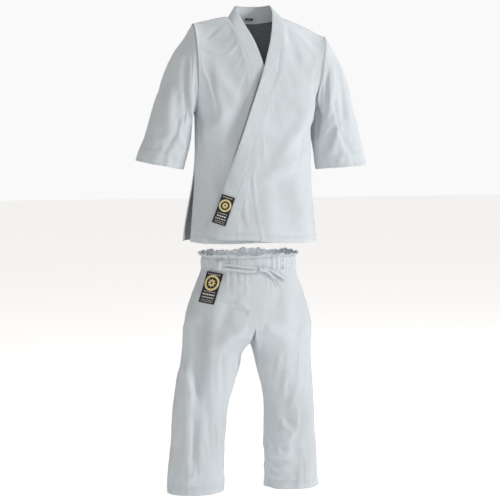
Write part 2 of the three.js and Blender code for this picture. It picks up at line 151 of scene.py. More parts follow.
# ---- curves and surfaces ----
def through(rows, place, column):
    """A value that runs smoothly through rows of (place, value, ...), read at many places."""
    rows = sorted(rows)
    at = np.array([r[0] for r in rows])
    value = np.array([r[column] for r in rows], float)
    slope = np.gradient(value, at) if len(rows) > 2 else np.full(2, np.diff(value) / np.diff(at))
    slope[1:-1] = (value[2:] - value[:-2]) / (at[2:] - at[:-2])
    place = np.clip(np.asarray(place, float), at[0], at[-1])
    i = np.clip(np.searchsorted(at, place) - 1, 0, len(at) - 2)
    span = at[i + 1] - at[i]
    t = (place - at[i]) / span
    return ((2 * t**3 - 3 * t**2 + 1) * value[i] + (t**3 - 2 * t**2 + t) * span * slope[i]
            + (3 * t**2 - 2 * t**3) * value[i + 1] + (t**3 - t**2) * span * slope[i + 1])


def mix(a, b, t):
    return a + (b - a) * t


def smooth(t, low=0.0, high=1.0):
    t = np.clip((np.asarray(t, float) - low) / (high - low), 0, 1)
    return t * t * (3 - 2 * t)


def curve_through(points, count):
    """Evenly spaced points on a smooth curve through the given ones."""
    points = np.array(points, float)
    chord = np.concatenate([[0], np.cumsum(np.linalg.norm(np.diff(points, axis=0), axis=1))])
    rows = [(c, *p) for c, p in zip(chord, points)]
    fine = np.linspace(0, chord[-1], count * 8)
    dense = np.stack([through(rows, fine, k + 1) for k in range(points.shape[1])], -1)
    length = np.concatenate([[0], np.cumsum(np.linalg.norm(np.diff(dense, axis=0), axis=1))])
    even = np.linspace(0, length[-1], count)
    return np.stack([np.interp(even, length, dense[:, k]) for k in range(points.shape[1])], -1)


def body_edge(z, side):
    """How far out the jacket's body reaches: to the side seam, and above the armpit to the armhole."""
    (armpit_x, armpit_z), (tip_x, tip_z) = side["armpit"], side["tip"]
    wide = through(TORSO, z, 1)
    below = mix(wide, armpit_x, np.clip(z / armpit_z, 0, 1) ** 3)
    up = np.clip((z - armpit_z) / (tip_z - armpit_z), 0, 1)
    return np.where(z <= armpit_z, below, mix(armpit_x, tip_x, up**1.3))


def shoulder_z(x, side):
    out = np.clip((np.abs(x) - side["neck"]) / (side["tip"][0] - side["neck"]), 0, 1)
    return mix(NECK_Z, side["tip"][1], out**1.2)


def body_depth(x, z, column):
    """How far the front (column 2) or the back (column 3) stands from the side seams' plane."""
    both = []
    for side in (SIDES["left"], SIDES["right"]):
        armpit_z, tip_z = side["armpit"][1], side["tip"][1]
        out = np.clip(np.abs(x) / body_edge(z, side), 0, 1)
        up = np.clip((z - armpit_z) / (tip_z - armpit_z), 0, 1)
        # in from the edge, the armhole's pull reaches further down and starts more gently
        low_z = armpit_z - 0.5 * (1 - out)
        pull = np.clip((z - low_z) / (tip_z - low_z), 0, 1)
        at_edge = ARMHOLE_DEPTH * (4 * pull * (1 - pull)) ** mix(1.0, 0.5, out**6)
        below = np.clip((shoulder_z(x, side) - z) / SHOULDER_ROUND, 0, 1)
        at_middle = through(TORSO, z, column) * np.sqrt(1 - (1 - below) ** 2)
        fall = (1 - out**2.4) ** mix(0.45, 1, smooth(up, 0, 0.5))
        both.append(mix(at_edge, at_middle, fall))
    return np.where(x < 0, both[1], both[0])


def on_front(x, z):
    return np.stack([x, -body_depth(x, z, 2), z], -1)


def on_back(x, z):
    return np.stack([x, body_depth(x, z, 3), z], -1)


def lapel_edge(z, side):
    """The free edge of a lapel below the place where the two cross."""
    if side["sign"] > 0:
        return OVER_EDGE_X - (SPLIT_Z - z) * OVER_SLANT
    return UNDER_EDGE_X + (SPLIT_Z - z) * UNDER_SLANT


def lapel_seam(z, side):
    """Where a front is sewn to its lapel, from the hem up to the neck, as the wearer's x."""
    low = lapel_edge(np.minimum(z, SPLIT_Z), side) + side["sign"] * LAPEL_WIDTH
    crossing = abs(lapel_edge(SPLIT_Z, side) + side["sign"] * LAPEL_WIDTH)
    high = side["sign"] * mix(crossing, side["neck"], np.clip((z - SPLIT_Z) / (NECK_Z - SPLIT_Z), 0, 1))
    return np.where(z < SPLIT_Z, low, high)


def back_top(x):
    tops = []
    for side in (SIDES["left"], SIDES["right"]):
        out = np.clip(np.abs(x) / side["neck"], 0, 1)
        tops.append(np.where(out < 1, NECK_Z - BACK_NECK_DIP * (1 - out**2), shoulder_z(x, side)))
    return np.where(x < 0, tops[1], tops[0])


def bulge(value):
    return np.sign(value) * np.abs(value) ** (2 / SQUARENESS)


def seat_point(u, z):
    """The seat's ring: u runs from the right side over the front to the left side and back."""
    turn = 2 * np.pi * u
    depth = np.where(np.sin(turn) > 0, through(SEAT, z, 2), through(SEAT, z, 3))
    return np.stack([-through(SEAT, z, 1) * bulge(np.cos(turn)),
                     through(SEAT, z, 4) - depth * bulge(np.sin(turn)), z + 0 * u], -1)


def seat_front(x, z):
    value = np.clip(-x / through(SEAT, z, 1), -1, 1)
    turn = np.arccos(np.sign(value) * np.abs(value) ** (SQUARENESS / 2))
    return seat_point(turn / (2 * np.pi), z)


def leg_point(name, u, z):
    turn = 2 * np.pi * u
    middle = SIDES[name]["sign"] * through(LEGS[name], z, 1)
    return np.stack([middle - through(LEGS[name], z, 2) * bulge(np.cos(turn)),
                     through(LEGS[name], z, 4) - through(LEGS[name], z, 3) * bulge(np.sin(turn)),
                     z + 0 * u], -1)


# ---- how cloth lies: folds and a gentle unevenness ----
def grid_normals(points, round_way=False):
    if round_way:
        wrapped = np.concatenate([points[:, -2:-1], points, points[:, 1:2]], axis=1)
        along = (wrapped[:, 2:] - wrapped[:, :-2]) / 2
    else:
        along = np.gradient(points, axis=1)
    up = np.gradient(points, axis=0)
    normal = np.cross(along, up)
    return normal / np.maximum(np.linalg.norm(normal, axis=-1, keepdims=True), 1e-12)


def fold(a, b, start, end, width, height, sharp=0.55):
    """A soft ridge from start to end with a hollow beside it, in the sheet's own two coordinates."""
    (ax, ay), (bx, by) = start, end
    length = math.hypot(bx - ax, by - ay)
    dx, dy = (bx - ax) / length, (by - ay) / length
    along = ((a - ax) * dx + (b - ay) * dy) / length
    across = ((b - ay) * dx - (a - ax) * dy) / width
    reach = smooth(along, -0.12, 0.25) * (1 - smooth(along, 0.7, 1.12))
    return height * reach * (np.exp(-across**2) - sharp * np.exp(-((across - 1.5) ** 2)))


def folds(table, a, b):
    return sum(fold(a, b, *row) for row in table)


def unevenness(points, size, height, seed):
    """Slow swells in the cloth, the same at every run."""
    flat = points.reshape(-1, 3) / size
    offset = Vector((seed * 3.1, seed * 1.7, seed * 2.3))
    values = [noise.fractal(Vector(p) + offset, 0.8, 2.1, 3) for p in flat]
    return height * np.array(values).reshape(points.shape[:-1])


def push(points, amount, round_way=False):
    return points + grid_normals(points, round_way) * amount[..., None]


def settle(points, pinned, grow=0.009, frames=11, stiff=2.0, joined=False, inward=0.004, outward=0.010):
    """Lets a sheet hang for a moment from its pinned points, and gives back where its cloth came to rest.

    pinned is 1 where a seam holds the cloth and 0 where it is free. The cloth is a little larger than
    its pattern, so that it buckles into folds of its own. How far it moves is limited both ways.
    """
    rows, columns = points.shape[:2]
    index = np.arange(rows * columns).reshape(rows, columns)
    if joined:
        index[:, -1] = index[:, 0]
    mesh = bpy.data.meshes.new("settling")
    mesh.from_pydata(points.reshape(-1, 3).tolist(), [], grid_faces(index).tolist())
    sheet = bpy.data.objects.new("settling", mesh)
    bpy.context.scene.collection.objects.link(sheet)
    group = sheet.vertex_groups.new(name="pin")
    weights = np.round(np.asarray(pinned), 2)
    free = (1 - weights)[..., None]
    for weight in np.unique(weights):
        if weight > 0:
            group.add(np.flatnonzero(weights == weight).tolist(), float(weight), "REPLACE")
    cloth_modifier = sheet.modifiers.new("cloth", "CLOTH")
    way = cloth_modifier.settings
    way.quality = 5
    way.mass = 0.15
    way.tension_stiffness = way.compression_stiffness = 40
    way.shear_stiffness = 12
    way.bending_stiffness = stiff
    way.tension_damping = way.compression_damping = 15
    way.air_damping = 2
    way.vertex_group_mass = "pin"
    way.shrink_min = -grow
    cloth_modifier.collision_settings.use_collision = False
    cloth_modifier.collision_settings.use_self_collision = False
    cloth_modifier.point_cache.frame_end = frames
    for frame_number in range(1, frames + 1):
        bpy.context.scene.frame_set(frame_number)
    resting = sheet.evaluated_get(bpy.context.evaluated_depsgraph_get()).data
    rest = np.empty(rows * columns * 3)
    resting.vertices.foreach_get("co", rest)
    rest = rest.reshape(points.shape)
    bpy.data.objects.remove(sheet)
    bpy.data.meshes.remove(mesh)
    bpy.context.scene.frame_set(1)
    if joined:
        rest[:, -1] = rest[:, 0]
        free[:, -1] = free[:, 0]
    normal = grid_normals(points, joined)
    moved = rest - points
    out = (moved * normal).sum(-1, keepdims=True)
    along = moved - out * normal
    limited = np.where(out > 0, outward * np.tanh(out / outward), inward * np.tanh(out / inward))
    return points + (along * 0.5 + limited * normal) * free


# ---- making a cloth piece ----
def only(piece):
    for other in bpy.context.view_layer.objects:
        other.select_set(False)
    piece.select_set(True)
    bpy.context.view_layer.objects.active = piece


def apply_modifier(piece, kind, **values):
    only(piece)
    modifier = piece.modifiers.new(kind.lower(), kind)
    for key, value in values.items():
        setattr(modifier, key, value)
    bpy.ops.object.modifier_apply(modifier=modifier.name)


def arc(points, axis):
    """Lengths along the grid's rows or columns, averaged over the other way."""
    step = np.linalg.norm(np.diff(points, axis=axis), axis=-1).mean(axis=1 - axis)
    return np.concatenate([[0], np.cumsum(step)])


def grid_faces(index):
    """Quads between the neighbouring rows and columns of a grid of point numbers."""
    return np.stack([index[:-1, :-1], index[:-1, 1:], index[1:, 1:], index[1:, :-1]], -1).reshape(-1, 4)


def new_piece(name, points, faces, weave, stitch, finish):
    """A mesh object whose first UV layer lies along the threads and whose second measures from the edges."""
    mesh = bpy.data.meshes.new(name)
    mesh.from_pydata(points.reshape(-1, 3).tolist(), [], faces)
    corners = np.array([loop.vertex_index for loop in mesh.loops])
    for label, values in (("UVMap", weave), ("Edges", stitch)):
        mesh.uv_layers.new(name=label).data.foreach_set("uv", values[corners].ravel().astype(np.float32))
    mesh.materials.append(finish)
    piece = bpy.data.objects.new(name, mesh)
    bpy.context.scene.collection.objects.link(piece)
    return piece


def weigh(piece, weights):
    """Gives each point its share of the cloth's thickness."""
    group = piece.vertex_groups.new(name="thickness")
    for i, weight in enumerate(np.asarray(weights).ravel()):
        group.add([i], float(weight), "REPLACE")


def shade(piece, angle=50):
    only(piece)
    bpy.ops.object.shade_smooth_by_angle(angle=math.radians(angle))


def cloth(name, points, finish, thickness=CLOTH, edges=None, thick=None, joined=False, inside=None):
    """A sheet of cloth from a grid of rows going up and columns going round, with real thickness.

    edges holds each point's distance from the side seam and from the hem, for the stitching.
    thick holds each point's share of the thickness. joined closes the last column on the first.
    inside is another material for the side that faces the wearer.
    """
    faces = grid_faces(np.arange(points[..., 0].size).reshape(points.shape[:2]))
    weave = np.stack(np.meshgrid(arc(points, 1), arc(points, 0)), -1).reshape(-1, 2)
    stitch = weave if edges is None else np.stack(edges, -1).reshape(-1, 2)
    piece = new_piece(name, points, faces.tolist(), weave, stitch, finish)
    extra = {}
    if inside is not None:
        piece.data.materials.append(inside)
        extra["material_offset"] = 1
    if thick is not None:
        weigh(piece, thick)
        extra["vertex_group"] = "thickness"
    if joined:
        apply_modifier(piece, "WELD", merge_threshold=0.00002)
    apply_modifier(piece, "SOLIDIFY", thickness=thickness, offset=-1.0, use_quality_normals=True, **extra)
    piece.vertex_groups.clear()
    shade(piece)
    return piece


def hem_share(distance, height=HEM_HEIGHT):
    """The share of the hem's thickness, from the edge up past the turned part."""
    return mix(CLOTH / HEM, 1, 1 - smooth(distance, height, height + 0.0025))


# ---- materials ----
def look():
    return bpy.context.scene.uniform_look


class Nodes:
    """Adds nodes to a material and links them, one line each."""

    def __init__(self, name):
        self.material = bpy.data.materials.new(name)
        self.material.use_nodes = True
        self.tree = self.material.node_tree
        self.shader = self.tree.nodes["Principled BSDF"]

    def add(self, kind, inputs=None, **settings):
        node = self.tree.nodes.new(kind)
        for key, value in settings.items():
            setattr(node, key, value)
        for key, value in (inputs or {}).items():
            self.put(node, key, value)
        return node

    def put(self, node, key, value):
        if isinstance(value, bpy.types.NodeSocket):
            self.tree.links.new(value, node.inputs[key])
        elif isinstance(value, bpy.types.Node):
            self.tree.links.new(value.outputs[0], node.inputs[key])
        else:
            node.inputs[key].default_value = value

    def math(self, operation, a, b=0.0, c=0.0):
        return self.add("ShaderNodeMath", {0: a, 1: b, 2: c}, operation=operation).outputs[0]

    def map_range(self, value, low, high, to_low=0.0, to_high=1.0):
        return self.add("ShaderNodeMapRange", {0: value, 1: low, 2: high, 3: to_low, 4: to_high}).outputs[0]


def threads(nodes, u, v, pitch):
    """Height of a plain weave: over and under threads in both directions."""
    turns = 2 * math.pi / pitch
    a = nodes.math("SINE", nodes.math("MULTIPLY", u, turns))
    b = nodes.math("SINE", nodes.math("MULTIPLY", v, turns))
    return nodes.math("MULTIPLY", a, b)


def stitch_row(nodes, distance, along, at, half=0.0005, length=0.0034):
    """A dashed line of thread at one distance from an edge."""
    off = nodes.math("ABSOLUTE", nodes.math("SUBTRACT", distance, at))
    line = nodes.map_range(off, half, half * 0.35)
    step = nodes.math("FRACT", nodes.math("DIVIDE", along, length))
    dash = nodes.map_range(nodes.math("ABSOLUTE", nodes.math("SUBTRACT", step, 0.5)), 0.42, 0.34)
    groove = nodes.map_range(off, half * 4.5, 0.0)
    return nodes.math("MULTIPLY", line, dash), groove


def cotton_material(name, hem_rows=(), seam_rows=(), quilted=False, pitch=0.0016, painted_shade=1.0):
    """White cotton with its weave, its uneven threads and its rows of stitching.

    quilted rows fill a whole band. dim darkens the cloth, for a side that faces away from the light.
    """
    nodes = Nodes(name)
    uv = nodes.add("ShaderNodeUVMap", uv_map="UVMap")
    edges = nodes.add("ShaderNodeUVMap", uv_map="Edges")
    split = nodes.add("ShaderNodeSeparateXYZ", {0: uv})
    edge = nodes.add("ShaderNodeSeparateXYZ", {0: edges})
    u, v = split.outputs[0], split.outputs[1]
    seam_off, hem_off = edge.outputs[0], edge.outputs[1]
    weave = threads(nodes, u, v, pitch)
    body = nodes.add("ShaderNodeTexCoord").outputs["Object"]
    slub = nodes.add("ShaderNodeTexNoise", {"Vector": nodes.add(
        "ShaderNodeMapping", {"Vector": uv, "Scale": (90, 900, 1)}), "Scale": 1.0, "Detail": 3.0})
    cloudy = nodes.add("ShaderNodeTexNoise", {"Vector": body, "Scale": 7.0, "Detail": 4.0})
    crumple = nodes.add("ShaderNodeTexNoise", {"Vector": body, "Scale": 26.0, "Detail": 5.0,
                                               "Distortion": 0.6})
    tint = nodes.add("ShaderNodeMix", data_type="RGBA")
    nodes.put(tint, "Factor", nodes.map_range(cloudy.outputs[0], 0.35, 0.65))
    # both tones are scaled down by the darkening factor: painted shade
    nodes.put(tint, "A", (*(painted_shade * value for value in look().shade_colour), 1))
    nodes.put(tint, "B", (*(painted_shade * value for value in look().cloth_colour), 1))
    # the colour is darker where the weave dips under: painted shade in the weave's hollows; the slubs'
    # lighter and darker threads are the cloth's own tone
    gap = nodes.map_range(weave, -1.0, 0.2, 0.80, 1.0)
    lit = nodes.math("MULTIPLY", gap, nodes.map_range(slub.outputs[0], 0.3, 0.7, 0.965, 1.02))
    thread, groove = None, None
    rows = [(hem_off, u, at) for at in hem_rows] + [(seam_off, v, at) for at in seam_rows]
    for distance, along, at in rows:
        one, dip = stitch_row(nodes, distance, along, at)
        thread = one if thread is None else nodes.math("MAXIMUM", thread, one)
        groove = dip if groove is None else nodes.math("MAXIMUM", groove, dip)
    if quilted:
        half_gap = look().lapel_row_gap / 2
        folded = nodes.math("PINGPONG", seam_off, half_gap)
        thread, groove = stitch_row(nodes, folded, v, half_gap - 0.0001)
    height = nodes.math("ADD", nodes.math("MULTIPLY", weave, 0.30),
                        nodes.math("MULTIPLY", slub.outputs[0], 0.22))
    height = nodes.math("ADD", height, nodes.math("MULTIPLY", crumple.outputs[0], 2.6))
    if thread is not None:
        faint = 0.4 if quilted else 1.0
        # the stitching's grooves are darkened in the colour: painted shade in the dips; the dashes of thread
        # are a little brighter
        lit = nodes.math("SUBTRACT", lit, nodes.math("MULTIPLY", groove, 0.09 * faint))
        lit = nodes.math("ADD", lit, nodes.math("MULTIPLY", thread, 0.08 * faint))
        height = nodes.math("SUBTRACT", height, nodes.math("MULTIPLY", groove, 0.9))
        height = nodes.math("ADD", height, nodes.math("MULTIPLY", thread, 0.8))
    shaded = nodes.add("ShaderNodeVectorMath", operation="SCALE")
    nodes.put(shaded, 0, tint.outputs["Result"])
    nodes.put(shaded, "Scale", lit)
    bump = nodes.add("ShaderNodeBump", {"Height": height, "Strength": 0.75, "Distance": 0.0006})
    nodes.put(nodes.shader, "Base Color", shaded)
    nodes.put(nodes.shader, "Normal", bump)
    nodes.put(nodes.shader, "Roughness", nodes.map_range(crumple.outputs[0], 0.3, 0.7, 0.84, 0.95))
    nodes.shader.inputs["Sheen Weight"].default_value = 0.25
    nodes.shader.inputs["Sheen Roughness"].default_value = 0.6
    nodes.shader.inputs["Specular IOR Level"].default_value = 0.25
    return nodes.material


def badge_material(name, wide, tall, with_ring):
    """Black weave. A badge has a plain gold ring over rows of white dashes, a label one dash and a rim."""
    nodes = Nodes(name)
    uv = nodes.add("ShaderNodeSeparateXYZ", {0: nodes.add("ShaderNodeUVMap", uv_map="UVMap")})
    u, v = uv.outputs[0], uv.outputs[1]
    from_side = nodes.math("MINIMUM", u, nodes.math("SUBTRACT", wide, u))
    from_end = nodes.math("MINIMUM", v, nodes.math("SUBTRACT", tall, v))
    from_edge = nodes.math("MINIMUM", from_side, from_end)
    weave = threads(nodes, u, v, 0.0008)
    gold = nodes.math("MULTIPLY", from_edge, 0.0)
    white = gold
    if with_ring:
        middle = nodes.math("SUBTRACT", u, wide / 2)
        centre = nodes.math("SUBTRACT", v, tall * 0.66)
        radius = nodes.math("SQRT", nodes.math("ADD", nodes.math("MULTIPLY", middle, middle),
                                               nodes.math("MULTIPLY", centre, centre)))
        off = nodes.math("ABSOLUTE", nodes.math("SUBTRACT", radius, wide * 0.385))
        gold = nodes.map_range(off, wide * 0.065, wide * 0.052)
        # a plain flower of eight petals inside the ring
        petals = nodes.math("COSINE", nodes.math("MULTIPLY", nodes.math("ARCTAN2", centre, middle), 8.0))
        reach = nodes.math("ADD", nodes.math("MULTIPLY", petals, wide * 0.045), wide * 0.185)
        inside = nodes.map_range(nodes.math("SUBTRACT", radius, reach), wide * 0.012, 0.0)
        heart = nodes.map_range(radius, wide * 0.060, wide * 0.075)
        gold = nodes.math("MAXIMUM", gold, nodes.math("MULTIPLY", inside, heart))
        ends = nodes.map_range(from_side, wide * 0.12, wide * 0.14)
        # rows of plain woven bars
        for at, half, dash, filled in ((0.935, 0.016, 0.0072, 0.60), (0.375, 0.013, 0.0052, 0.62),
                                       (0.285, 0.027, 0.0086, 0.72), (0.190, 0.022, 0.0064, 0.66),
                                       (0.110, 0.011, 0.0040, 0.60), (0.055, 0.009, 0.0048, 0.66)):
            off = nodes.math("ABSOLUTE", nodes.math("SUBTRACT", v, tall * at))
            line = nodes.map_range(off, tall * half, tall * half * 0.7)
            step = nodes.math("FRACT", nodes.math("DIVIDE", u, dash))
            mark = nodes.math("MULTIPLY", line, nodes.map_range(step, filled, filled - 0.08))
            white = nodes.math("MAXIMUM", white, nodes.math("MULTIPLY", mark, ends))
    else:
        off = nodes.math("ABSOLUTE", nodes.math("SUBTRACT", v, tall * 0.5))
        white = nodes.map_range(from_edge, 0.0009, 0.0006)
        bar = nodes.math("MULTIPLY", nodes.map_range(off, 0.0010, 0.0007),
                         nodes.map_range(from_side, 0.008, 0.009))
        white = nodes.math("MAXIMUM", white, nodes.math("MULTIPLY", bar, 0.5))
    cloth_mix = nodes.add("ShaderNodeMix", data_type="RGBA")
    nodes.put(cloth_mix, "Factor", gold)
    nodes.put(cloth_mix, "A", (*look().badge_colour, 1))
    nodes.put(cloth_mix, "B", (*look().gold_colour, 1))
    final = nodes.add("ShaderNodeMix", data_type="RGBA")
    nodes.put(final, "Factor", white)
    nodes.put(final, "A", cloth_mix.outputs["Result"])
    nodes.put(final, "B", (0.78, 0.78, 0.75, 1))
    raised = nodes.math("ADD", nodes.math("MAXIMUM", gold, white), nodes.math("MULTIPLY", weave, 0.3))
    bump = nodes.add("ShaderNodeBump", {"Height": raised, "Strength": 0.6, "Distance": 0.0003})
    nodes.put(nodes.shader, "Base Color", final.outputs["Result"])
    nodes.put(nodes.shader, "Normal", bump)
    nodes.put(nodes.shader, "Roughness", nodes.map_range(gold, 0.0, 1.0, 0.75, 0.5))
    nodes.shader.inputs["Sheen Weight"].default_value = 0.1
    return nodes.material


# ---- settings shown in the panel ----
class ClothLook(bpy.types.PropertyGroup):
    cloth_colour: bpy.props.FloatVectorProperty(
        name="Cloth colour", description="The cotton where it is cleanest", subtype="COLOR",
        default=(0.680, 0.738, 0.775), min=0, max=1)
    shade_colour: bpy.props.FloatVectorProperty(
        name="Cloth shade", description="The cotton's slightly greyer parts", subtype="COLOR",
        default=(0.645, 0.690, 0.720), min=0, max=1)
    badge_colour: bpy.props.FloatVectorProperty(
        name="Badge colour", description="The badges' black ground", subtype="COLOR",
        default=(0.012, 0.012, 0.014), min=0, max=1)
    gold_colour: bpy.props.FloatVectorProperty(
        name="Gold thread", description="The badges' ring and flower", subtype="COLOR",
        default=(0.80, 0.67, 0.33), min=0, max=1)
    lapel_row_gap: bpy.props.FloatProperty(
        name="Lapel stitching", description="Distance between the lapel's rows of stitching",
        default=0.0088, min=0.004, max=0.02, unit="LENGTH")
    grain: bpy.props.FloatProperty(
        name="Mesh spacing", description="Distance between the cloth meshes' points",
        default=0.0048, min=0.002, max=0.02, unit="LENGTH")


class StageSettings(bpy.types.PropertyGroup):
    azimuth: bpy.props.FloatProperty(
        name="Camera azimuth", description="How far round the wearer's left the camera stands",
        default=math.radians(-14), subtype="ANGLE")
    elevation: bpy.props.FloatProperty(
        name="Camera height angle", description="How far above level the camera stands",
        default=math.radians(5), subtype="ANGLE")
    distance: bpy.props.FloatProperty(
        name="Camera distance", description="From the camera to the uniform's middle",
        default=4.8, min=1, unit="LENGTH")
    view_height: bpy.props.FloatProperty(
        name="View height", description="What the camera takes in at the uniform's distance",
        default=1.775, min=0.1, unit="LENGTH")
    aim_z: bpy.props.FloatProperty(
        name="Aim height", description="The height that the camera looks at",
        default=0.048, unit="LENGTH")


# each cotton's name, and where its rows of stitching lie, in from the hem or from the seam
SEAM_ROWS = (0.0030, 0.0085)
COTTONS = {
    "panel": {"name": "white_cotton", "hem_rows": (0.0235, 0.0190), "seam_rows": SEAM_ROWS},
    # the inside cotton is darkened: painted shade on the back panel's inner face, which lies in shade
    "inside": {"name": "white_cotton_inside_painted_shade", "hem_rows": (0.0235,), "painted_shade": 0.45},
    "leg": {"name": "white_cotton_trousers", "hem_rows": (0.0275, 0.0225), "seam_rows": SEAM_ROWS},
    "cuff": {"name": "white_cotton_sleeves", "hem_rows": (0.0500, 0.0440, 0.0060), "seam_rows": SEAM_ROWS},
    "band": {"name": "stitched_band", "quilted": True},
    "casing": {"name": "stitched_casing", "hem_rows": (0.0030, 0.0430, 0.0470)},
    "tape": {"name": "cotton_tape", "pitch": 0.0022},
}
_made = {}


def material(kind):
    """The finished cottons, each made once."""
    if kind not in _made:
        _made[kind] = cotton_material(**COTTONS[kind])
    return _made[kind]


def steps(length):
    return max(int(round(length / look().grain)), 4)


def finish_piece(piece, slot, body, *nodes):
    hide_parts(*nodes)
    if body:
        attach(piece, body)
    return piece


def up_to_shoulder(crowded):
    """Shares of a panel's length, from the hem up and closer together towards the rounded shoulder."""
    t = np.linspace(0, 1, steps(PANEL_LENGTH))
    return mix(t, np.sin(t * np.pi / 2), crowded)


# ---- the jacket's back ----
# each fold from one place to another, then its width and height; a hollow has a height below 0
BACK_FOLDS = [((-0.13, 0.72), (-0.06, 0.40), 0.022, 0.006), ((0.14, 0.70), (0.08, 0.36), 0.024, 0.006),
              ((-0.05, 0.34), (-0.12, 0.10), 0.030, 0.007), ((0.03, 0.40), (0.06, 0.10), 0.034, 0.006)]


def make_back():
    u = np.linspace(0, 1, steps(0.62))
    v = up_to_shoulder(0.85)
    u, v = np.meshgrid(u, v)
    turn = np.cos(np.pi * u)
    tip = np.where(turn < 0, SIDES["right"]["tip"][0], SIDES["left"]["tip"][0])
    z = mix(HEM_Z, back_top(turn * tip), v)
    reach = np.where(turn < 0, body_edge(z, SIDES["right"]), body_edge(z, SIDES["left"]))
    points = on_back(turn * reach, z)
    vent = smooth(VENT_TOP_Z - z, 0, 0.30) * smooth(np.abs(turn), 0.72, 1.0)
    points[..., 1] += 0.012 * vent
    points[..., 0] += np.where(turn < 0, -0.019, 0.006) * vent
    x = points[..., 0]
    calm = smooth(1 - np.abs(turn), 0.02, 0.25) * smooth(1 - v, 0.0, 0.12)
    swell = unevenness(points, 0.16, 0.0045, 1)
    swell += folds(BACK_FOLDS, x, z)
    points = push(points, swell * calm)
    held = 1 - smooth(1 - np.abs(turn), 0.0, 0.10) * (z > VENT_TOP_Z) * smooth(1 - v, 0.0, 0.10)
    held = np.where(z > VENT_TOP_Z, held, 0.25)
    points = settle(points, held)
    hem_off = z - HEM_Z
    side_off = np.minimum((1 - np.abs(turn)) * 0.45, 0.1)
    piece = cloth("jacket_back", points + JACKET_PLACE, material("panel"), thickness=HEM,
                  edges=(side_off, hem_off), thick=hem_share(hem_off), inside=material("inside"))
    finish_piece(piece, "white_cotton", "jacket_body", "back_panel", "back_hem")
    return piece


# ---- the two fronts ----
FRONT_FOLDS = {
    "left": [((0.225, 0.60), (0.07, 0.38), 0.022, 0.007), ((0.215, 0.53), (0.12, 0.45), 0.014, 0.005),
             ((0.19, 0.40), (-0.02, 0.29), 0.026, 0.005), ((0.12, 0.32), (0.17, 0.09), 0.030, 0.007),
             ((0.01, 0.30), (0.03, 0.09), 0.034, 0.005), ((0.12, 0.85), (0.20, 0.74), 0.016, 0.005),
             ((0.10, 0.83), (0.14, 0.68), 0.020, -0.004)],
    "right": [((-0.095, 0.86), (-0.175, 0.785), 0.009, -0.006),
              ((-0.19, 0.66), (-0.165, 0.50), 0.022, -0.010),
              ((-0.165, 0.70), (-0.075, 0.55), 0.024, 0.006), ((-0.03, 0.60), (-0.12, 0.40), 0.030, -0.012),
              ((-0.20, 0.44), (-0.11, 0.55), 0.020, 0.006), ((-0.175, 0.40), (-0.14, 0.10), 0.024, 0.006),
              ((-0.10, 0.40), (-0.16, 0.26), 0.020, -0.007), ((-0.15, 0.34), (-0.12, 0.10), 0.020, -0.005)],
}
OVER_HEM_RISE, BAND_END_RISE = 0.010, 0.017     # the over front hangs a little shorter at its lapel


def sunk_under(x, z):
    """How far the under front lies back beneath the over front, from the over lapel's edge on."""
    edge = lapel_edge(np.minimum(z, SPLIT_Z), SIDES["left"])
    deep = mix(0.004, 0.011, smooth(z, 0.30, 0.46)) * (1 - smooth(z, 0.63, 0.70))
    return deep * smooth(x - edge, -0.004, 0.008)


def raised_hem(x, z):
    """How far the over front's hem is drawn up towards its lapel."""
    return OVER_HEM_RISE * smooth(0.10 - x, 0.0, 0.15) * (1 - smooth(z - HEM_Z, 0.0, 0.16))


def turn_back(piece):
    """Lets a front fold open along a slant, from beside the neck down to the foot of the side seam."""
    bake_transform(piece)


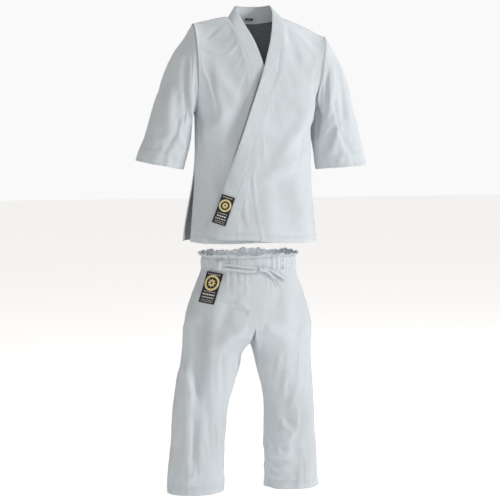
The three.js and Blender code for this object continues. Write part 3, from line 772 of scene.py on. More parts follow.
def make_front(name):
    side = SIDES[name]
    over = side["sign"] > 0
    v = up_to_shoulder(0.8)
    flat = (0.44, 0.84) if over else (0.36, 0.84)
    out = np.linspace(0, 1, steps(flat[0]))
    out, v = np.meshgrid(out, v)
    top_x = mix(side["neck"], side["tip"][0], out)
    z = mix(HEM_Z, shoulder_z(top_x, side), v)
    reach = body_edge(z, side)
    start = np.arcsin(np.clip(side["sign"] * lapel_seam(z, side) / reach, -1, 1))
    low = reach * np.sin(mix(start, np.pi / 2, out))
    high = mix(side["sign"] * lapel_seam(z, side), reach, out)
    x = side["sign"] * mix(low, high, smooth(z, side["armpit"][1] - 0.08, side["armpit"][1] + 0.12))
    points = on_front(x, z)
    # near the shoulder seam the depth is read where the column ends, so that the front meets the back
    at_seam = smooth(v, 0.8, 1.0) * smooth(out, 0.0, 0.12)
    points[..., 1] = on_front(mix(x, side["sign"] * top_x, at_seam), z)[..., 1]
    vent = smooth(VENT_TOP_Z - z, 0, 0.30) * smooth(out, 0.80, 1.0)
    points[..., 1] -= 0.010 * vent
    calm = smooth(out, 0.0, 0.10) * smooth(1 - out, 0.0, 0.12) * smooth(1 - v, 0.0, 0.10)
    swell = unevenness(points, 0.15, 0.004, 2 if over else 3)
    swell += folds(FRONT_FOLDS[name], x, z)
    # the over front lies on the under front, and comes down to the back along the shoulder seam
    lift = side["raise"] * (1 - smooth(out, 0.75, 1.0)) * (1 - smooth(v, 0.90, 1.0)) if over else 0 * out
    lift = lift + 0.0022 * smooth(out, 0.965, 1.0) * smooth(z - side["armpit"][1], 0.0, 0.03)
    if not over:
        lift = lift - 0.0016 * smooth(1 - out, 0.3, 0.6) - sunk_under(x, z)
    swell = swell * calm * (1.0 if over else 0.8) + lift
    if not over:
        points, swell, out, z, v = (grid[:, ::-1] for grid in (points, swell, out, z, v))
    points = push(points, swell)
    if over:
        points[..., 2] += raised_hem(x, z)
    held = 1 - smooth(1 - out, 0.0, 0.12) * smooth(out, 0.0, 0.12) * smooth(1 - v, 0.0, 0.10)
    held = np.where(z > VENT_TOP_Z, held, np.minimum(held, 1 - smooth(out, 0.0, 0.12) * 0.75))
    points = settle(points, held, inward=0.001 if over else 0.006, outward=0.010 if over else 0.002)
    hem_off = z - HEM_Z
    side_off = np.minimum((1 - out) * 0.40, 0.1)
    piece = cloth(f"{name}_front", points + JACKET_PLACE, material("panel"), thickness=HEM,
                  edges=(side_off, hem_off), thick=hem_share(hem_off))
    finish_piece(piece, "white_cotton", None, f"{name}_front_side", f"{name}_side_hem",
                 f"{name}_front_fold", f"{name}_front_flap", f"{name}_flap_hem", f"{name}_chest")
    turn_back(piece)
    return piece


# ---- the lapel band, in two halves that meet at the middle of the back of the neck ----
def make_lapel(name):
    side = SIDES[name]
    over = side["sign"] > 0
    across = np.linspace(0, 1, 25)
    low_z = np.linspace(HEM_Z, SPLIT_Z, steps(0.62))
    edge_x = lapel_edge(low_z, side)
    low_x = mix(edge_x[:, None], lapel_seam(low_z, side)[:, None], across[None])
    low = on_front(low_x, np.repeat(low_z[:, None], len(across), 1))

    high_z = np.linspace(SPLIT_Z, NECK_Z - 0.001, steps(0.22))[1:]
    seam = on_front(lapel_seam(high_z, side), high_z)
    crossing = lapel_edge(np.array([SPLIT_Z, SPLIT_Z + 0.09]), side)
    crossing[1] = crossing[0] + side["sign"] * (0.025 if over else 0.032)
    edge_points = [*on_front(crossing, np.array([SPLIT_Z, SPLIT_Z + 0.09])),
                   (side["sign"] * (COLLAR_TOP_HALF - (0 if over else 0.008)), -0.038, NECK_Z + 0.003),
                   (side["sign"] * COLLAR_TOP_HALF, -0.005, COLLAR_TOP_Z)]
    edge = curve_through(edge_points, len(high_z) + 1)[1:]
    high = mix(edge[:, None], seam[:, None], across[None, :, None])

    turn = np.linspace(np.pi / 2, 0, steps(0.16))[1:]
    neck_x = side["sign"] * np.sin(turn) * side["neck"]
    foot = on_back(neck_x, back_top(neck_x))
    foot[:, 2] -= 0.006
    rim = np.stack([side["sign"] * np.sin(turn) * COLLAR_TOP_HALF, COLLAR_TOP_DEPTH * np.cos(turn) + 0.001,
                    np.full_like(turn, COLLAR_TOP_Z)], -1)
    collar = mix(rim[:, None], foot[:, None], across[None, :, None])
    points = np.concatenate([low, high, collar])
    # settle the joins between the three stretches
    for _ in range(14):
        inner = points[len(low) - 6:-1]
        inner += 0.5 * ((points[len(low) - 7:-2] + points[len(low) - 5:]) / 2 - inner)
    if not over:
        points = points[:, ::-1]
    rows = np.arange(points.shape[0])[:, None] / (points.shape[0] - 1)
    height = points[..., 2]
    bulk = 0.0062 if over else -0.0008 - sunk_under(points[..., 0], height)
    if over:
        stand_off = smooth(height, 0.36, 0.50) * (1 - smooth(height, 0.62, 0.72))
        bulk = bulk + 0.008 * stand_off * (1 - across[None]) ** 1.5
        points[..., 2] += raised_hem(points[..., 0], height)
        points[..., 2] += BAND_END_RISE * (1 - across[None]) * (1 - smooth(height - HEM_Z, 0.0, 0.12))
    # behind the neck both halves lie on the back's outer face
    row = np.arange(points.shape[0])[:, None]
    bulk = mix(bulk, COLLAR_LIFT, smooth(row, len(low) + len(high), len(low) + len(high) + 0.7 * len(turn)))
    stitch = look().lapel_row_gap
    from_edge = (across if over else across[::-1])[None] * LAPEL_WIDTH
    quilt = 0.00022 * np.cos(2 * np.pi * from_edge / stitch)
    rounded = -0.0012 * np.exp(-from_edge / 0.003) - 0.0010 * np.exp(-(LAPEL_WIDTH - from_edge) / 0.003)
    swell = unevenness(points, 0.12, 0.0022, 5 if over else 6) * smooth(1 - rows, 0.0, 0.05)
    points = push(points, bulk + quilt * smooth(from_edge, 0.002, 0.006) + rounded + swell)
    distance = np.repeat(from_edge, points.shape[0], 0)
    along = arc(points, 0)[:, None] + 0 * distance
    piece = cloth(f"{name}_lapel_band", points + JACKET_PLACE, material("band"), thickness=BAND,
                  edges=(distance, along))
    nodes = [f"{name}_lapel", f"{name}_upper_lapel"] + (["collar"] if over else [])
    finish_piece(piece, "stitched_band", None, *nodes)
    turn_back(piece)
    return piece


# ---- sleeves ----
# from one place on the cloth to another, as lengths round and down the sleeve, then width and height
SLEEVE_FOLDS = {
    "left": [((0.43, 0.05), (0.36, 0.22), 0.018, 0.006), ((0.40, 0.30), (0.33, 0.42), 0.022, 0.005),
             ((0.08, 0.08), (0.18, 0.24), 0.022, 0.007), ((0.47, 0.10), (0.44, 0.34), 0.016, 0.004),
             ((0.10, 0.26), (0.22, 0.36), 0.022, 0.005), ((0.35, 0.02), (0.30, 0.14), 0.015, 0.006)],
    "right": [((0.10, 0.05), (0.19, 0.20), 0.018, 0.007), ((0.06, 0.20), (0.12, 0.36), 0.024, 0.005),
              ((0.20, 0.08), (0.24, 0.24), 0.018, -0.004), ((0.12, 0.30), (0.20, 0.38), 0.020, 0.002),
              ((0.35, 0.08), (0.42, 0.26), 0.026, 0.005), ((0.38, 0.30), (0.46, 0.40), 0.026, 0.003)],
}
SLEEVE_AROUND, SLEEVE_LONG = 0.52, 0.47
TUCK = 0.016                                    # the share of the sleeve that lies under the body's edge


def make_sleeve(name):
    side = SIDES[name]
    along = np.linspace(1, -TUCK, steps(SLEEVE_LONG))
    u = np.linspace(0, 1, steps(SLEEVE_AROUND) + 1)
    u, along = np.meshgrid(u, along)
    under_body, along = np.minimum(along, 0), np.maximum(along, 0)
    read = [None] + [through(side["sleeve"], along, k) for k in range(1, 6)]
    turn = 2 * np.pi * u * side["sign"]
    share = (1 + np.cos(turn)) / 2
    z = mix(read[4], read[2], share)
    x = mix(read[3], read[1], share)
    _, top_x, top_z, under_x, under_z, _ = side["sleeve"][0]
    to_armhole = body_edge(mix(under_z, top_z, share), side) - mix(under_x, top_x, share)
    x += to_armhole * (1 - smooth(along, 0.0, 0.4)) + under_body * SLEEVE_LONG
    points = np.stack([side["sign"] * x, read[5] * np.sin(turn), z], -1)
    around, down = u * SLEEVE_AROUND, along * SLEEVE_LONG
    seed = 7 if side["sign"] > 0 else 8
    at_join = smooth(np.abs(u - 0.5), 0.40, 0.5)
    swell = mix(unevenness(points, 0.12, 0.004, seed), unevenness(points[:, :1], 0.12, 0.004, seed), at_join)
    swell += folds(SLEEVE_FOLDS[name], around, down) * (1 - at_join)
    swell *= smooth(down, 0.0, 0.03)
    # the seam draws the sleeve in, and in front of the armpit the cloth falls into a hollow
    swell -= 0.0032 * np.exp(-down / 0.007)
    front_share = np.abs(u - (0.575 if side["sign"] > 0 else 0.455)) / (0.060 if side["sign"] > 0 else 0.045)
    hollow = np.exp(-front_share**2) * smooth(down, -0.004, 0.014) * (1 - smooth(down, 0.10, 0.30))
    swell -= (0.036 if side["sign"] > 0 else 0.012) * hollow
    points = push(points, swell, round_way=True)
    held = 1 - smooth(down, 0.0, 0.06) * 0.97
    points = settle(points, held, joined=True, inward=0.004, outward=0.004, grow=0.008, stiff=3.0)
    hem_off = (1 - along) * SLEEVE_LONG
    seam_off = np.minimum(down, 0.1)
    piece = cloth(f"{name}_sleeve_cloth", points + JACKET_PLACE, material("cuff"), thickness=HEM,
                  edges=(seam_off, hem_off), thick=hem_share(hem_off, 0.052), joined=True)
    finish_piece(piece, "white_cotton", None, f"{name}_sleeve_head", f"{name}_sleeve", f"{name}_cuff")
    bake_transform(piece)
    return piece


# ---- trousers ----
def gathers(u, seed=0.0):
    """The uneven pleats that a drawn-in waist makes, round the ring."""
    turn = 2 * np.pi * u
    pleats = np.sin(41 * turn + 1.3 * np.sin(3 * turn + seed))
    pleats += 0.6 * np.sin(67 * turn + 2.1 * np.sin(5 * turn))
    return pleats / 1.6 * (0.7 + 0.3 * np.sin(7 * turn + 1 + seed))


# on the front of a leg, from one place to another, then the fold's width, height and hollow beside it
LEG_FOLDS = {
    "left": [
        ((0.05, -0.36), (0.16, -0.62), 0.04, -0.012, 0.1),
        ((0.105, -0.57), (0.172, -0.618), 0.011, 0.006, 0.7),
        ((0.05, -0.6), (0.112, -0.686), 0.014, 0.006, 0.7),
        ((0.095, -0.672), (0.17, -0.716), 0.013, 0.006, 0.7),
        ((0.045, -0.706), (0.16, -0.744), 0.01, 0.004, 0.6),
        ((0.075, -0.758), (0.175, -0.775), 0.009, 0.003, 0.6),
        ((0.02, -0.205), (0.15, -0.29), 0.022, 0.006, 0.5),
        ((0.018, -0.23), (0.055, -0.52), 0.016, -0.01, 0),
        ((0.09, -0.05), (0.075, -0.17), 0.02, -0.005, 0),
        ((0.15, -0.04), (0.165, -0.3), 0.03, -0.006, 0),
    ],
    "right": [
        ((-0.203, -0.48), (-0.186, -0.1), 0.021, -0.024, 0.5),
        ((-0.235, -0.34), (-0.216, -0.47), 0.011, 0.007, 0.4),
        ((-0.206, -0.55), (-0.22, -0.72), 0.012, -0.008, 0.2),
        ((-0.172, -0.52), (-0.188, -0.7), 0.022, 0.005, 0.3),
        ((-0.095, -0.12), (-0.125, -0.23), 0.026, -0.006, 0),
        ((-0.02, -0.205), (-0.13, -0.275), 0.018, 0.005, 0.5),
        ((-0.105, -0.56), (-0.16, -0.66), 0.024, 0.004, 0.5),
        ((-0.175, -0.72), (-0.25, -0.765), 0.014, 0.004, 0.5),
        ((-0.15, -0.03), (-0.18, -0.1), 0.016, -0.004, 0),
    ],
}


def make_trouser_half(name):
    sign = SIDES[name]["sign"]
    top = CASING_BOTTOM_Z + 0.004
    outer_count, inner_count = steps(0.62), steps(0.16)
    upper = np.linspace(top, CROTCH_Z, steps(0.22))
    lower = np.linspace(CROTCH_Z, LEG_HEM_Z, steps(0.62))[1:]
    inner_half = 0.085
    s = np.linspace(0, 1, outer_count)
    seat_u = 0.25 + sign * 0.5 * s
    leg_u = mix(inner_half, 1 - inner_half, s)
    leg_u = leg_u if sign > 0 else 0.5 - leg_u
    su, z = np.meshgrid(seat_u, np.concatenate([upper, lower]))
    lu = np.meshgrid(leg_u, np.concatenate([upper, lower]))[0]
    spread = smooth(CROTCH_Z - z, 0.0, SPLIT_LENGTH)
    outer = mix(seat_point(su, z), leg_point(name, lu, np.minimum(z, CROTCH_Z)), spread[..., None])
    outer[..., 2] = z

    t = np.linspace(0, 1, inner_count)
    inner_u = mix(1 - inner_half, 1 + inner_half, t)
    inner_u = inner_u if sign > 0 else 0.5 - inner_u
    low_z = np.concatenate([[CROTCH_Z], lower])
    tt, iz = np.meshgrid(t, low_z)
    iu = np.meshgrid(inner_u, low_z)[0]
    back, front = seat_point(np.array([0.75]), np.array([CROTCH_Z])), seat_point(np.array([0.25]),
                                                                              np.array([CROTCH_Z]))
    crotch = mix(back[0], front[0], tt[..., None])
    crotch[..., 0] = sign * GUSSET_HALF * np.sin(np.pi * tt) ** 2
    blend_in = smooth(CROTCH_Z - iz, 0.0, SPLIT_LENGTH)[..., None]
    inner = mix(crotch, leg_point(name, iu, iz), blend_in)
    inner[..., 2] = iz

    points = np.full((len(upper) + len(lower), outer_count + inner_count - 1, 3), np.nan)
    points[:, :outer_count] = outer
    points[len(upper) - 1:, outer_count - 1:] = inner
    points[len(upper) - 1:, outer_count - 1] = outer[len(upper) - 1:, -1]
    if sign < 0:
        points = points[:, ::-1]
    return points, len(upper) - 1, outer_count


def make_leg(name):
    """One half of the trousers: a leg, and its side of the seat up to the casing."""
    sign = SIDES[name]["sign"]
    points, crotch_row, outer_count = make_trouser_half(name)
    outer_part = points[:, :outer_count] if sign > 0 else points[:, -outer_count:]
    closed = points[crotch_row:]
    # normals come from the closed leg below the crotch and from the open half above it
    normals = np.zeros_like(points)
    normals[crotch_row:] = grid_normals(closed[::-1], round_way=True)[::-1]
    seat_normals = grid_normals(outer_part[:crotch_row + 2][::-1])[::-1]
    target = normals[:, :outer_count] if sign > 0 else normals[:, -outer_count:]
    target[:crotch_row] = seat_normals[:crotch_row]
    x, z = np.nan_to_num(points[..., 0]), np.nan_to_num(points[..., 2])
    front = smooth(-np.nan_to_num(normals[..., 1]), -0.1, 0.4)
    swell = unevenness(np.nan_to_num(points), 0.13, 0.0055, 11 if sign > 0 else 12)
    for start_at, end_at, width, height, sharp in LEG_FOLDS[name]:
        swell += fold(x, z, start_at, end_at, width, height, sharp) * front
        swell += fold(x * 0.94, z + 0.03, start_at, end_at, width * 1.2, height * 0.7, sharp) * (1 - front)
    turn_of = np.arctan2(-(np.nan_to_num(points[..., 1])), -x) / (2 * np.pi)
    drawn = np.exp(-(CASING_BOTTOM_Z - z) / 0.040) * (z > CROTCH_Z)
    swell = swell * smooth(CASING_BOTTOM_Z - z, 0.0, 0.06) + 0.0032 * gathers(turn_of) * drawn
    centre = smooth(np.abs(x), 0.0, 0.02) + (z < CROTCH_Z - 0.05)
    swell = swell * np.clip(centre, 0.0, 1.0)
    # the crotch is drawn in above the gusset, with a pucker across it
    near_crotch = smooth(-z, 0.160, 0.212) * smooth(z - CROTCH_Z, -0.05, 0.0)
    swell -= 0.013 * np.exp(-(x / 0.024) ** 2) * near_crotch * front
    swell += fold(x, z, (-0.085, -0.135), (-0.012, -0.172), 0.011, -0.005, 0.6) * front
    # flat-felled seams down the outside and the inside of the leg
    columns = np.arange(points.shape[1])
    outer_first = columns if sign > 0 else columns[::-1]
    inside_seam = outer_count + (points.shape[1] - outer_count) / 2
    for seam in ((outer_count - 1) / 2, inside_seam):
        swell += 0.0013 * np.exp(-((outer_first[None] - seam) / 1.1) ** 2)
    ends = smooth(CROTCH_Z - z, 0.0, 0.04) + (np.abs(x) > 0.03)
    work = points + normals * (swell * np.clip(ends, 0, 1))[..., None]
    leg = work[crotch_row:][::-1]
    held = 1 - smooth(CROTCH_Z - leg[..., 2], 0.03, 0.14) * 0.97
    leg = settle(leg, held, joined=True, inward=0.005, outward=0.005, grow=0.006, stiff=3.0)
    work[crotch_row:] = leg[::-1]
    return leg_mesh(name, work, crotch_row, outer_count, sign)


def leg_mesh(name, points, crotch_row, outer_count, sign):
    rows, columns = points.shape[:2]
    real = ~np.isnan(points[..., 0])
    index = np.full((rows, columns), -1)
    index[real] = np.arange(real.sum())
    quads = grid_faces(index[::-1])
    quads = quads[(quads >= 0).all(-1)]
    step = np.linalg.norm(np.diff(points[crotch_row + 20], axis=0), axis=-1).mean()
    outer_seam = np.nan_to_num(points[:, :1] if sign > 0 else points[:, -1:])
    across, along = np.meshgrid(np.arange(columns) * step, arc(outer_seam, 0)[::-1])
    z = points[..., 2]
    outer_first = np.arange(columns) if sign > 0 else columns - 1 - np.arange(columns)
    side_seam = np.abs(outer_first - (outer_count - 1) / 2) * step
    hem_off = z - LEG_HEM_Z
    weave = np.stack([across, along], -1)[real]
    stitch = np.stack([np.broadcast_to(side_seam[None], z.shape), hem_off], -1)[real]
    piece = new_piece(f"{name}_trouser_leg", points[real] + TROUSERS_PLACE, quads.tolist(), weave, stitch,
                      material("leg"))
    weigh(piece, hem_share(hem_off[real], LEG_HEM_HEIGHT))
    apply_modifier(piece, "WELD", merge_threshold=0.00005)
    apply_modifier(piece, "SOLIDIFY", thickness=HEM, offset=-1.0, use_quality_normals=True,
                   vertex_group="thickness")
    piece.vertex_groups.clear()
    shade(piece)
    finish_piece(piece, "white_cotton", None, f"{name}_thigh", f"{name}_leg_front", f"{name}_leg_back",
                 f"{name}_leg_hem", "seat_front" if sign > 0 else "seat_back")
    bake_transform(piece)
    return piece


def make_gusset():
    t, across = np.meshgrid(np.linspace(0, 1, steps(0.30)), np.linspace(-1, 1, 14))
    back = seat_point(np.array([0.75]), np.array([CROTCH_Z]))[0]
    front = seat_point(np.array([0.25]), np.array([CROTCH_Z]))[0]
    points = mix(front, back, t[..., None])
    points[..., 0] = across * (GUSSET_HALF * np.sin(np.pi * t) ** 2 + 0.0015)
    points[..., 2] += -0.002 + 0.004 * (1 - across**2) * np.sin(np.pi * t)
    points = points[:, ::-1]
    piece = cloth("gusset_cloth", points + TROUSERS_PLACE, material("leg"),
                  edges=((1 - np.abs(across)) * GUSSET_HALF, 0.1 + 0 * across))
    finish_piece(piece, "white_cotton", "trousers_seat", "crotch_gusset")
    return piece


def make_casing():
    """The drawstring casing with its frilled top edge, drawn in on the string."""
    u, v = np.meshgrid(np.linspace(0, 1, 721), np.linspace(0, 1, 30))
    z = mix(CASING_BOTTOM_Z, FRILL_TOP_Z, v)
    points = seat_point(u, z)
    on_frill = smooth(z, CASING_TOP_Z - 0.002, FRILL_TOP_Z)
    pinch = np.exp(-((z - CASING_TOP_Z) / 0.0035) ** 2) + 0.7 * np.exp(-((z - CASING_BOTTOM_Z) / 0.003) ** 2)
    full = np.sin(np.pi * np.clip((z - CASING_BOTTOM_Z) / (CASING_TOP_Z - CASING_BOTTOM_Z), 0, 1))
    calm = 1 - 0.6 * np.exp(-((points[..., 0] - 0.01) / 0.07) ** 2) * (points[..., 1] < 0) * (1 - on_frill)
    swell = (0.0030 * calm + 0.0035 * on_frill) * gathers(u) + 0.0022 * full - 0.0024 * pinch + 0.001
    swell += 0.0016 * gathers(u + 0.013, 2.0) * full * calm
    uneven = unevenness(points, 0.05, 0.005, 21)
    uneven[:, -1] = uneven[:, 0]
    at_join = np.minimum(u, 1 - u) * 30
    swell += mix(uneven[:, :1], uneven, np.clip(at_join, 0, 1)) * (0.4 + 0.6 * on_frill)
    x, facing_front = points[..., 0], points[..., 1] < 0
    # the buttonhole where the string can come out, with a worked rim
    on_hole = smooth(0.020 - np.abs(z - 0.002), 0, 0.004) * facing_front
    swell -= 0.0045 * np.exp(-((x - BUTTONHOLE_X) / 0.0019) ** 2) * on_hole
    swell += 0.0012 * np.exp(-((np.abs(x - BUTTONHOLE_X) - 0.0055) / 0.0022) ** 2) * on_hole
    for gather_x in (-0.142, -0.121):
        swell -= 0.0035 * np.exp(-((x - gather_x) / 0.003) ** 2) * full * facing_front
    # the string's leads come out from under a pleat
    swell += 0.0125 * np.exp(-((x + 0.121) / 0.0095) ** 2) * full**0.5 * facing_front
    points = push(points, swell, round_way=True)
    points[..., 2] += on_frill * (0.0035 * np.sin(2 * np.pi * u * 7 + 1) + 0.002 * np.sin(2 * np.pi * u * 19)
                                  + 0.0012 * np.sin(2 * np.pi * u * 47 + 2))
    piece = cloth("waist_casing", points + TROUSERS_PLACE, material("casing"), thickness=0.0022,
                  edges=(0 * u, z - CASING_BOTTOM_Z), joined=True)
    finish_piece(piece, "stitched_band", "trousers_seat", "waist_frill", "waistband_outer")

    inner = seat_point(u, mix(CASING_BOTTOM_Z + 0.001, CASING_TOP_Z - 0.001, v))
    inner = push(inner, 0.0020 * gathers(u) - 0.0062, round_way=True)
    lining = cloth("waist_lining", inner + TROUSERS_PLACE, material("casing"), thickness=0.0012, joined=True)
    finish_piece(lining, "stitched_band", "trousers_seat", "waistband_inner")

    ring = seat_point(u[:6], mix(STRING_Z - WIDTH_OF_TAPE / 2, STRING_Z + WIDTH_OF_TAPE / 2, v[:6] * 5))
    ring = push(ring, 0.0010 * gathers(u[:6]) - 0.0036, round_way=True)
    hidden = cloth("drawstring_channel_tape", ring + TROUSERS_PLACE, material("tape"), thickness=0.0012,
                   joined=True)
    finish_piece(hidden, "cotton_tape", "trousers_seat", "drawstring_in_channel")


# ---- drawstring ----
def over_belly(route, count):
    flat = curve_through(route, count)
    place = seat_front(flat[:, 0], flat[:, 1])
    ahead = seat_front(flat[:, 0] + 0.001, flat[:, 1]) - place
    normal = np.cross(ahead, np.array([0, 0, 1.0]))
    normal /= np.linalg.norm(normal, axis=1, keepdims=True)
    return place + normal * TAPE_LIFT, normal


def make_tape(name, node, route, lean, far_end, **declare):
    """A flat woven tape along its route, with rounded edges and a slight twist."""
    count, sides = 34, 18
    path, normal = over_belly(route, count)
    forward = np.gradient(path, axis=0)
    forward /= np.linalg.norm(forward, axis=1, keepdims=True)
    side = np.cross(forward, normal)
    side /= np.linalg.norm(side, axis=1, keepdims=True)
    twist = lean * np.sin(np.linspace(0, 2 * np.pi, count))
    flat_way = side * np.cos(twist)[:, None] + normal * np.sin(twist)[:, None]
    thick_way = np.cross(flat_way, forward)
    angle = np.linspace(0, 2 * np.pi, sides + 1)
    across = np.sign(np.cos(angle)) * np.abs(np.cos(angle)) ** 0.7 * WIDTH_OF_TAPE / 2
    through_way = np.sin(angle) * THICKNESS_OF_TAPE / 2
    points = (path[:, None] + flat_way[:, None] * across[None, :, None]
              + thick_way[:, None] * through_way[None, :, None])
    index = np.arange(count * sides).reshape(count, sides)
    faces = grid_faces(np.concatenate([index, index[:, :1]], 1)).tolist()
    faces += [index[0][::-1].tolist(), index[-1].tolist()]
    weave = np.stack(np.meshgrid(np.arange(sides) * 0.0012, arc(points, 0)), -1).reshape(-1, 2)
    piece = new_piece(name, points[:, :sides] + TROUSERS_PLACE, faces, weave, weave, material("tape"))
    only(piece)
    bpy.ops.object.mode_set(mode="EDIT")
    bpy.ops.mesh.select_all(action="SELECT")
    bpy.ops.mesh.normals_make_consistent(inside=False)
    bpy.ops.object.mode_set(mode="OBJECT")
    shade(piece)
    finish_piece(piece, "cotton_tape", "trousers_seat", node)
    return piece


# each turn of the knot: how it is tilted, where its middle lies, and its two radii
KNOT_TURNS = [((1.35, 0.5, 0.0), (0.0005, 0.0005, 0.0), 0.0062, 0.0030),
              ((1.2, -0.7, 0.2), (0.0020, -0.0010, -0.0010), 0.0060, 0.0027),
              ((0.3, 0.15, 0.9), (-0.0010, 0.0010, 0.0010), 0.0052, 0.0029),
              ((0.1, 1.35, 0.35), (-0.0030, 0.0, 0.0005), 0.0056, 0.0026)]


def make_knot():
    """The tied knot: turns of tape wrapped over each other."""
    flat, normal = over_belly([KNOT_AT, (KNOT_AT[0] + 0.001, KNOT_AT[1])], 2)
    centre = flat[0] + normal[0] * (KNOT_LIFT - TAPE_LIFT) + TROUSERS_PLACE
    turns = []
    for tilt, shift, major, minor in KNOT_TURNS:
        bpy.ops.mesh.primitive_torus_add(major_radius=major, minor_radius=minor, major_segments=48,
                                         minor_segments=16, rotation=tilt,
                                         location=tuple(centre + np.array(shift)))
        turns.append(bpy.context.active_object)
    knot = turns[0]
    knot.name = "drawstring_knot_tied"
    only(knot)
    for other in turns:
        other.select_set(True)
    bpy.ops.object.join()
    bpy.ops.object.transform_apply(location=True, rotation=True, scale=True)
    apply_modifier(knot, "REMESH", mode="VOXEL", voxel_size=0.00045)
    apply_modifier(knot, "SMOOTH", factor=0.5, iterations=2)
    knot.data.materials.clear()
    knot.data.materials.append(material("tape"))
    for label in ("UVMap", "Edges"):
        layer = knot.data.uv_layers.get(label) or knot.data.uv_layers.new(name=label)
        spots = [knot.data.vertices[loop.vertex_index].co for loop in knot.data.loops]
        layer.data.foreach_set("uv", np.array([(p.x + p.y, p.z) for p in spots]).ravel().astype(np.float32))
    shade(knot, 60)
    return finish_piece(knot, "cotton_tape", "trousers_seat", "drawstring_knot")


# ---- badges, label and inner ties ----
def make_badge(name, node, points, body, ring=True):
    wide, tall = arc(points, 1)[-1], arc(points, 0)[-1]
    finish = badge_material(f"{name}_weave", float(wide), float(tall), ring)
    piece = cloth(name, points, finish, thickness=0.0009)
    finish_piece(piece, "woven_badge", body, node)
    return piece


def make_badges():
    u, v = np.meshgrid(np.linspace(0, 1, 14), np.linspace(0, 1, 28))
    lean = math.atan(OVER_SLANT)
    across, up, corner = u * JACKET_BADGE[0], v * JACKET_BADGE[1], 0.152
    x = lapel_edge(corner, SIDES["left"]) + 0.004 + across * math.cos(lean) + up * math.sin(lean)
    points = on_front(x, corner - across * math.sin(lean) + up * math.cos(lean))
    points[..., 2] += OVER_HEM_RISE * 0.5
    points = push(points, np.full_like(u, BADGE_LIFT))
    make_badge("jacket_badge", "jacket_patch", points + JACKET_PLACE, "over_front")
    z = mix(-0.125, -0.019, v) - 0.007 * u
    points = push(seat_front(mix(-0.190, -0.156, v) + u * 0.045, z), np.full_like(u, TROUSERS_BADGE_LIFT))
    make_badge("trousers_badge", "trousers_patch", points + TROUSERS_PLACE, "trousers_seat")
    low, high = (np.array(corner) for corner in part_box("size_label"))
    label = np.stack([mix(high[0], low[0], 1 - u), low[1] + 0.004 + 0.003 * np.sin(np.pi * u),
                      mix(low[2], high[2], v)], -1)
    make_badge("size_label_woven", "size_label", label, "jacket_body", ring=False)


def make_ties():
    for name, node, body in (("inner_tie_under_front", "inner_tie_front", "under_front"),
                             ("inner_tie_side_seam", "inner_tie_side", "jacket_body")):
        low, high = (np.array(corner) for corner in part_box(node))
        u, v = np.meshgrid(np.linspace(0, 1, 10), np.linspace(0, 1, 40))
        wave = 0.0035 * np.sin(v * 5.0 + (1 if body == "jacket_body" else 0)) * (1 - v)
        middle = (low[1] + high[1]) / 2
        points = np.stack([mix(low[0], high[0], u), middle + wave, mix(low[2], high[2], v)], -1)
        piece = cloth(name, points, material("tape"), thickness=0.0016)
        finish_piece(piece, "cotton_tape", body, node)


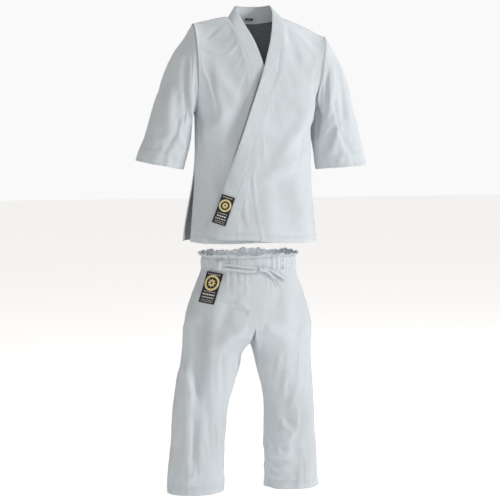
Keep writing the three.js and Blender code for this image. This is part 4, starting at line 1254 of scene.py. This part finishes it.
# ---- stage ----
def make_stage():
    stage = bpy.context.scene.uniform_stage
    scene = bpy.context.scene
    low = cad_box[0]
    bpy.ops.mesh.primitive_plane_add(size=30, location=(0, 6, low[2] - 0.004))
    floor = bpy.context.active_object
    floor.name = "floor"
    nodes = Nodes("pale_floor")
    grain = nodes.add("ShaderNodeTexNoise", {"Scale": 3.0, "Detail": 2.0,
                                             "Vector": nodes.add("ShaderNodeTexCoord").outputs["Object"]})
    nodes.put(nodes.shader, "Roughness", nodes.map_range(grain.outputs[0], 0.3, 0.7, 0.85, 0.92))
    nodes.shader.inputs["Base Color"].default_value = (0.80, 0.80, 0.80, 1)
    nodes.shader.inputs["Emission Color"].default_value = (1.0, 1.0, 1.0, 1)
    # seen directly, the floor is paler than the light that it gives back to the cloth
    seen = nodes.add("ShaderNodeLightPath").outputs["Is Camera Ray"]
    nodes.put(nodes.shader, "Emission Strength", nodes.map_range(seen, 0.0, 1.0, 0.46, 0.62))
    floor.data.materials.append(nodes.material)

    world = bpy.data.worlds.new("studio") if scene.world is None else scene.world
    scene.world = world
    world.use_nodes = True
    tree = world.node_tree
    background = tree.nodes["Background"]
    background.inputs["Color"].default_value = (1.0, 0.955, 0.915, 1)
    background.inputs["Strength"].default_value = 0.34
    # seen directly, the studio's wall is brighter than the light that it gives
    wall = tree.nodes.new("ShaderNodeBackground")
    wall.inputs["Color"].default_value = (1.0, 1.0, 1.0, 1)
    wall.inputs["Strength"].default_value = 0.95
    choose, path = tree.nodes.new("ShaderNodeMixShader"), tree.nodes.new("ShaderNodeLightPath")
    tree.links.new(path.outputs["Is Camera Ray"], choose.inputs[0])
    tree.links.new(background.outputs[0], choose.inputs[1])
    tree.links.new(wall.outputs[0], choose.inputs[2])
    tree.links.new(choose.outputs[0], tree.nodes["World Output"].inputs[0])

    target = Vector((0, 0, stage.aim_z))
    waist = Vector((0, 0.02, CASING_TOP_Z))
    # the last lamp lights the trousers' open waist, which the jacket would leave in the dark
    for name, place, aim, size, power in (("key", (3.6, -2.0, 2.2), target, 1.1, 120),
                                          ("front_fill", (-1.5, -4.0, 1.6), target, 3.0, 22),
                                          ("top", (0.3, 0.6, 3.4), target, 2.2, 26),
                                          ("waist", (0.0, -0.02, HEM_Z - 0.012), waist, 0.2, WAIST_LAMP)):
        data = bpy.data.lights.new(name, "AREA")
        data.size, data.energy = size, power
        lamp = bpy.data.objects.new(name, data)
        lamp.location = place
        lamp.rotation_euler = (aim - Vector(place)).to_track_quat("-Z", "Y").to_euler()
        lamp.visible_camera = False
        scene.collection.objects.link(lamp)

    azimuth, elevation = stage.azimuth, stage.elevation
    away = Vector((math.sin(azimuth) * math.cos(elevation), -math.cos(azimuth) * math.cos(elevation),
                   math.sin(elevation)))
    data = bpy.data.cameras.new("camera")
    data.sensor_fit = "HORIZONTAL"
    data.angle = 2 * math.atan(stage.view_height / 2 / stage.distance)
    camera = bpy.data.objects.new("camera", data)
    camera.location = target + away * stage.distance
    camera.rotation_euler = (-away).to_track_quat("-Z", "Y").to_euler()
    scene.collection.objects.link(camera)
    scene.camera = camera
    scene.view_settings.view_transform = "Standard"


def make_drawstring():
    knot = make_knot()
    make_tape("drawstring_upper_lead", "drawstring_lead_upper", LEAD_UPPER, 0.25, "knot", with_pieces=[knot])
    make_tape("drawstring_lower_lead", "drawstring_lead_lower", LEAD_LOWER, -0.35, "knot", with_pieces=[knot])
    make_tape("drawstring_lower_end", "drawstring_end_lower", END_LOWER, 0.6, "bare")
    make_tape("drawstring_upper_end", "drawstring_end_upper", END_UPPER, -0.5, "bare")


def make_fronts():
    for name in SIDES:
        make_front(name)


def make_lapels():
    for name in SIDES:
        make_lapel(name)


def make_sleeves():
    for name in SIDES:
        make_sleeve(name)


def make_trousers():
    for name in SIDES:
        make_leg(name)
    make_gusset()


# ---- the add-on ----
def operator(idname, label, words, action):
    """One Operator class whose execute runs one maker."""
    def execute(self, context):
        action()
        return {"FINISHED"}
    return type("UNIFORM_OT_" + idname.split(".")[1], (bpy.types.Operator,),
                {"bl_idname": idname, "bl_label": label, "__doc__": words, "execute": execute,
                 "bl_options": {"REGISTER", "UNDO"}})


STEPS = [
    ("uniform.stage", "Stage", "Make the floor, lights and camera", make_stage),
    ("uniform.back", "Back", "Make the jacket's back panel", make_back),
    ("uniform.fronts", "Fronts", "Make the jacket's two fronts", make_fronts),
    ("uniform.lapels", "Lapel band", "Make the lapels and the collar", make_lapels),
    ("uniform.sleeves", "Sleeves", "Make the two sleeves", make_sleeves),
    ("uniform.trousers", "Trousers", "Make the legs, the seat and the gusset", make_trousers),
    ("uniform.casing", "Waist casing", "Make the frilled casing and its lining", make_casing),
    ("uniform.drawstring", "Drawstring", "Make the drawstring, its knot and its ends", make_drawstring),
    ("uniform.badges", "Badges and label", "Make the two badges and the size label", make_badges),
    ("uniform.ties", "Inner ties", "Make the pair of inner ties", make_ties),
]


class UNIFORM_PT_panel(bpy.types.Panel):
    """Lists the pieces of the uniform and its settings."""
    bl_idname = "UNIFORM_PT_panel"
    bl_label = "Martial arts uniform"
    bl_space_type = "VIEW_3D"
    bl_region_type = "UI"
    bl_category = "Uniform"

    def draw(self, context):
        for group in (context.scene.uniform_look, context.scene.uniform_stage):
            for key in group.__annotations__:
                self.layout.prop(group, key)
        for idname, label, _words, _action in STEPS:
            self.layout.operator(idname, text=label)


CLASSES = [ClothLook, StageSettings, *(operator(*step) for step in STEPS), UNIFORM_PT_panel]


def register():
    for item in CLASSES:
        bpy.utils.register_class(item)
    bpy.types.Scene.uniform_look = bpy.props.PointerProperty(type=ClothLook)
    bpy.types.Scene.uniform_stage = bpy.props.PointerProperty(type=StageSettings)


def unregister():
    del bpy.types.Scene.uniform_look
    del bpy.types.Scene.uniform_stage
    for item in reversed(CLASSES):
        bpy.utils.unregister_class(item)


def main():
    register()
    for idname, *_rest in STEPS:
        group, name = idname.split(".")
        getattr(getattr(bpy.ops, group), name)()


if __name__ == "__main__":
    main()
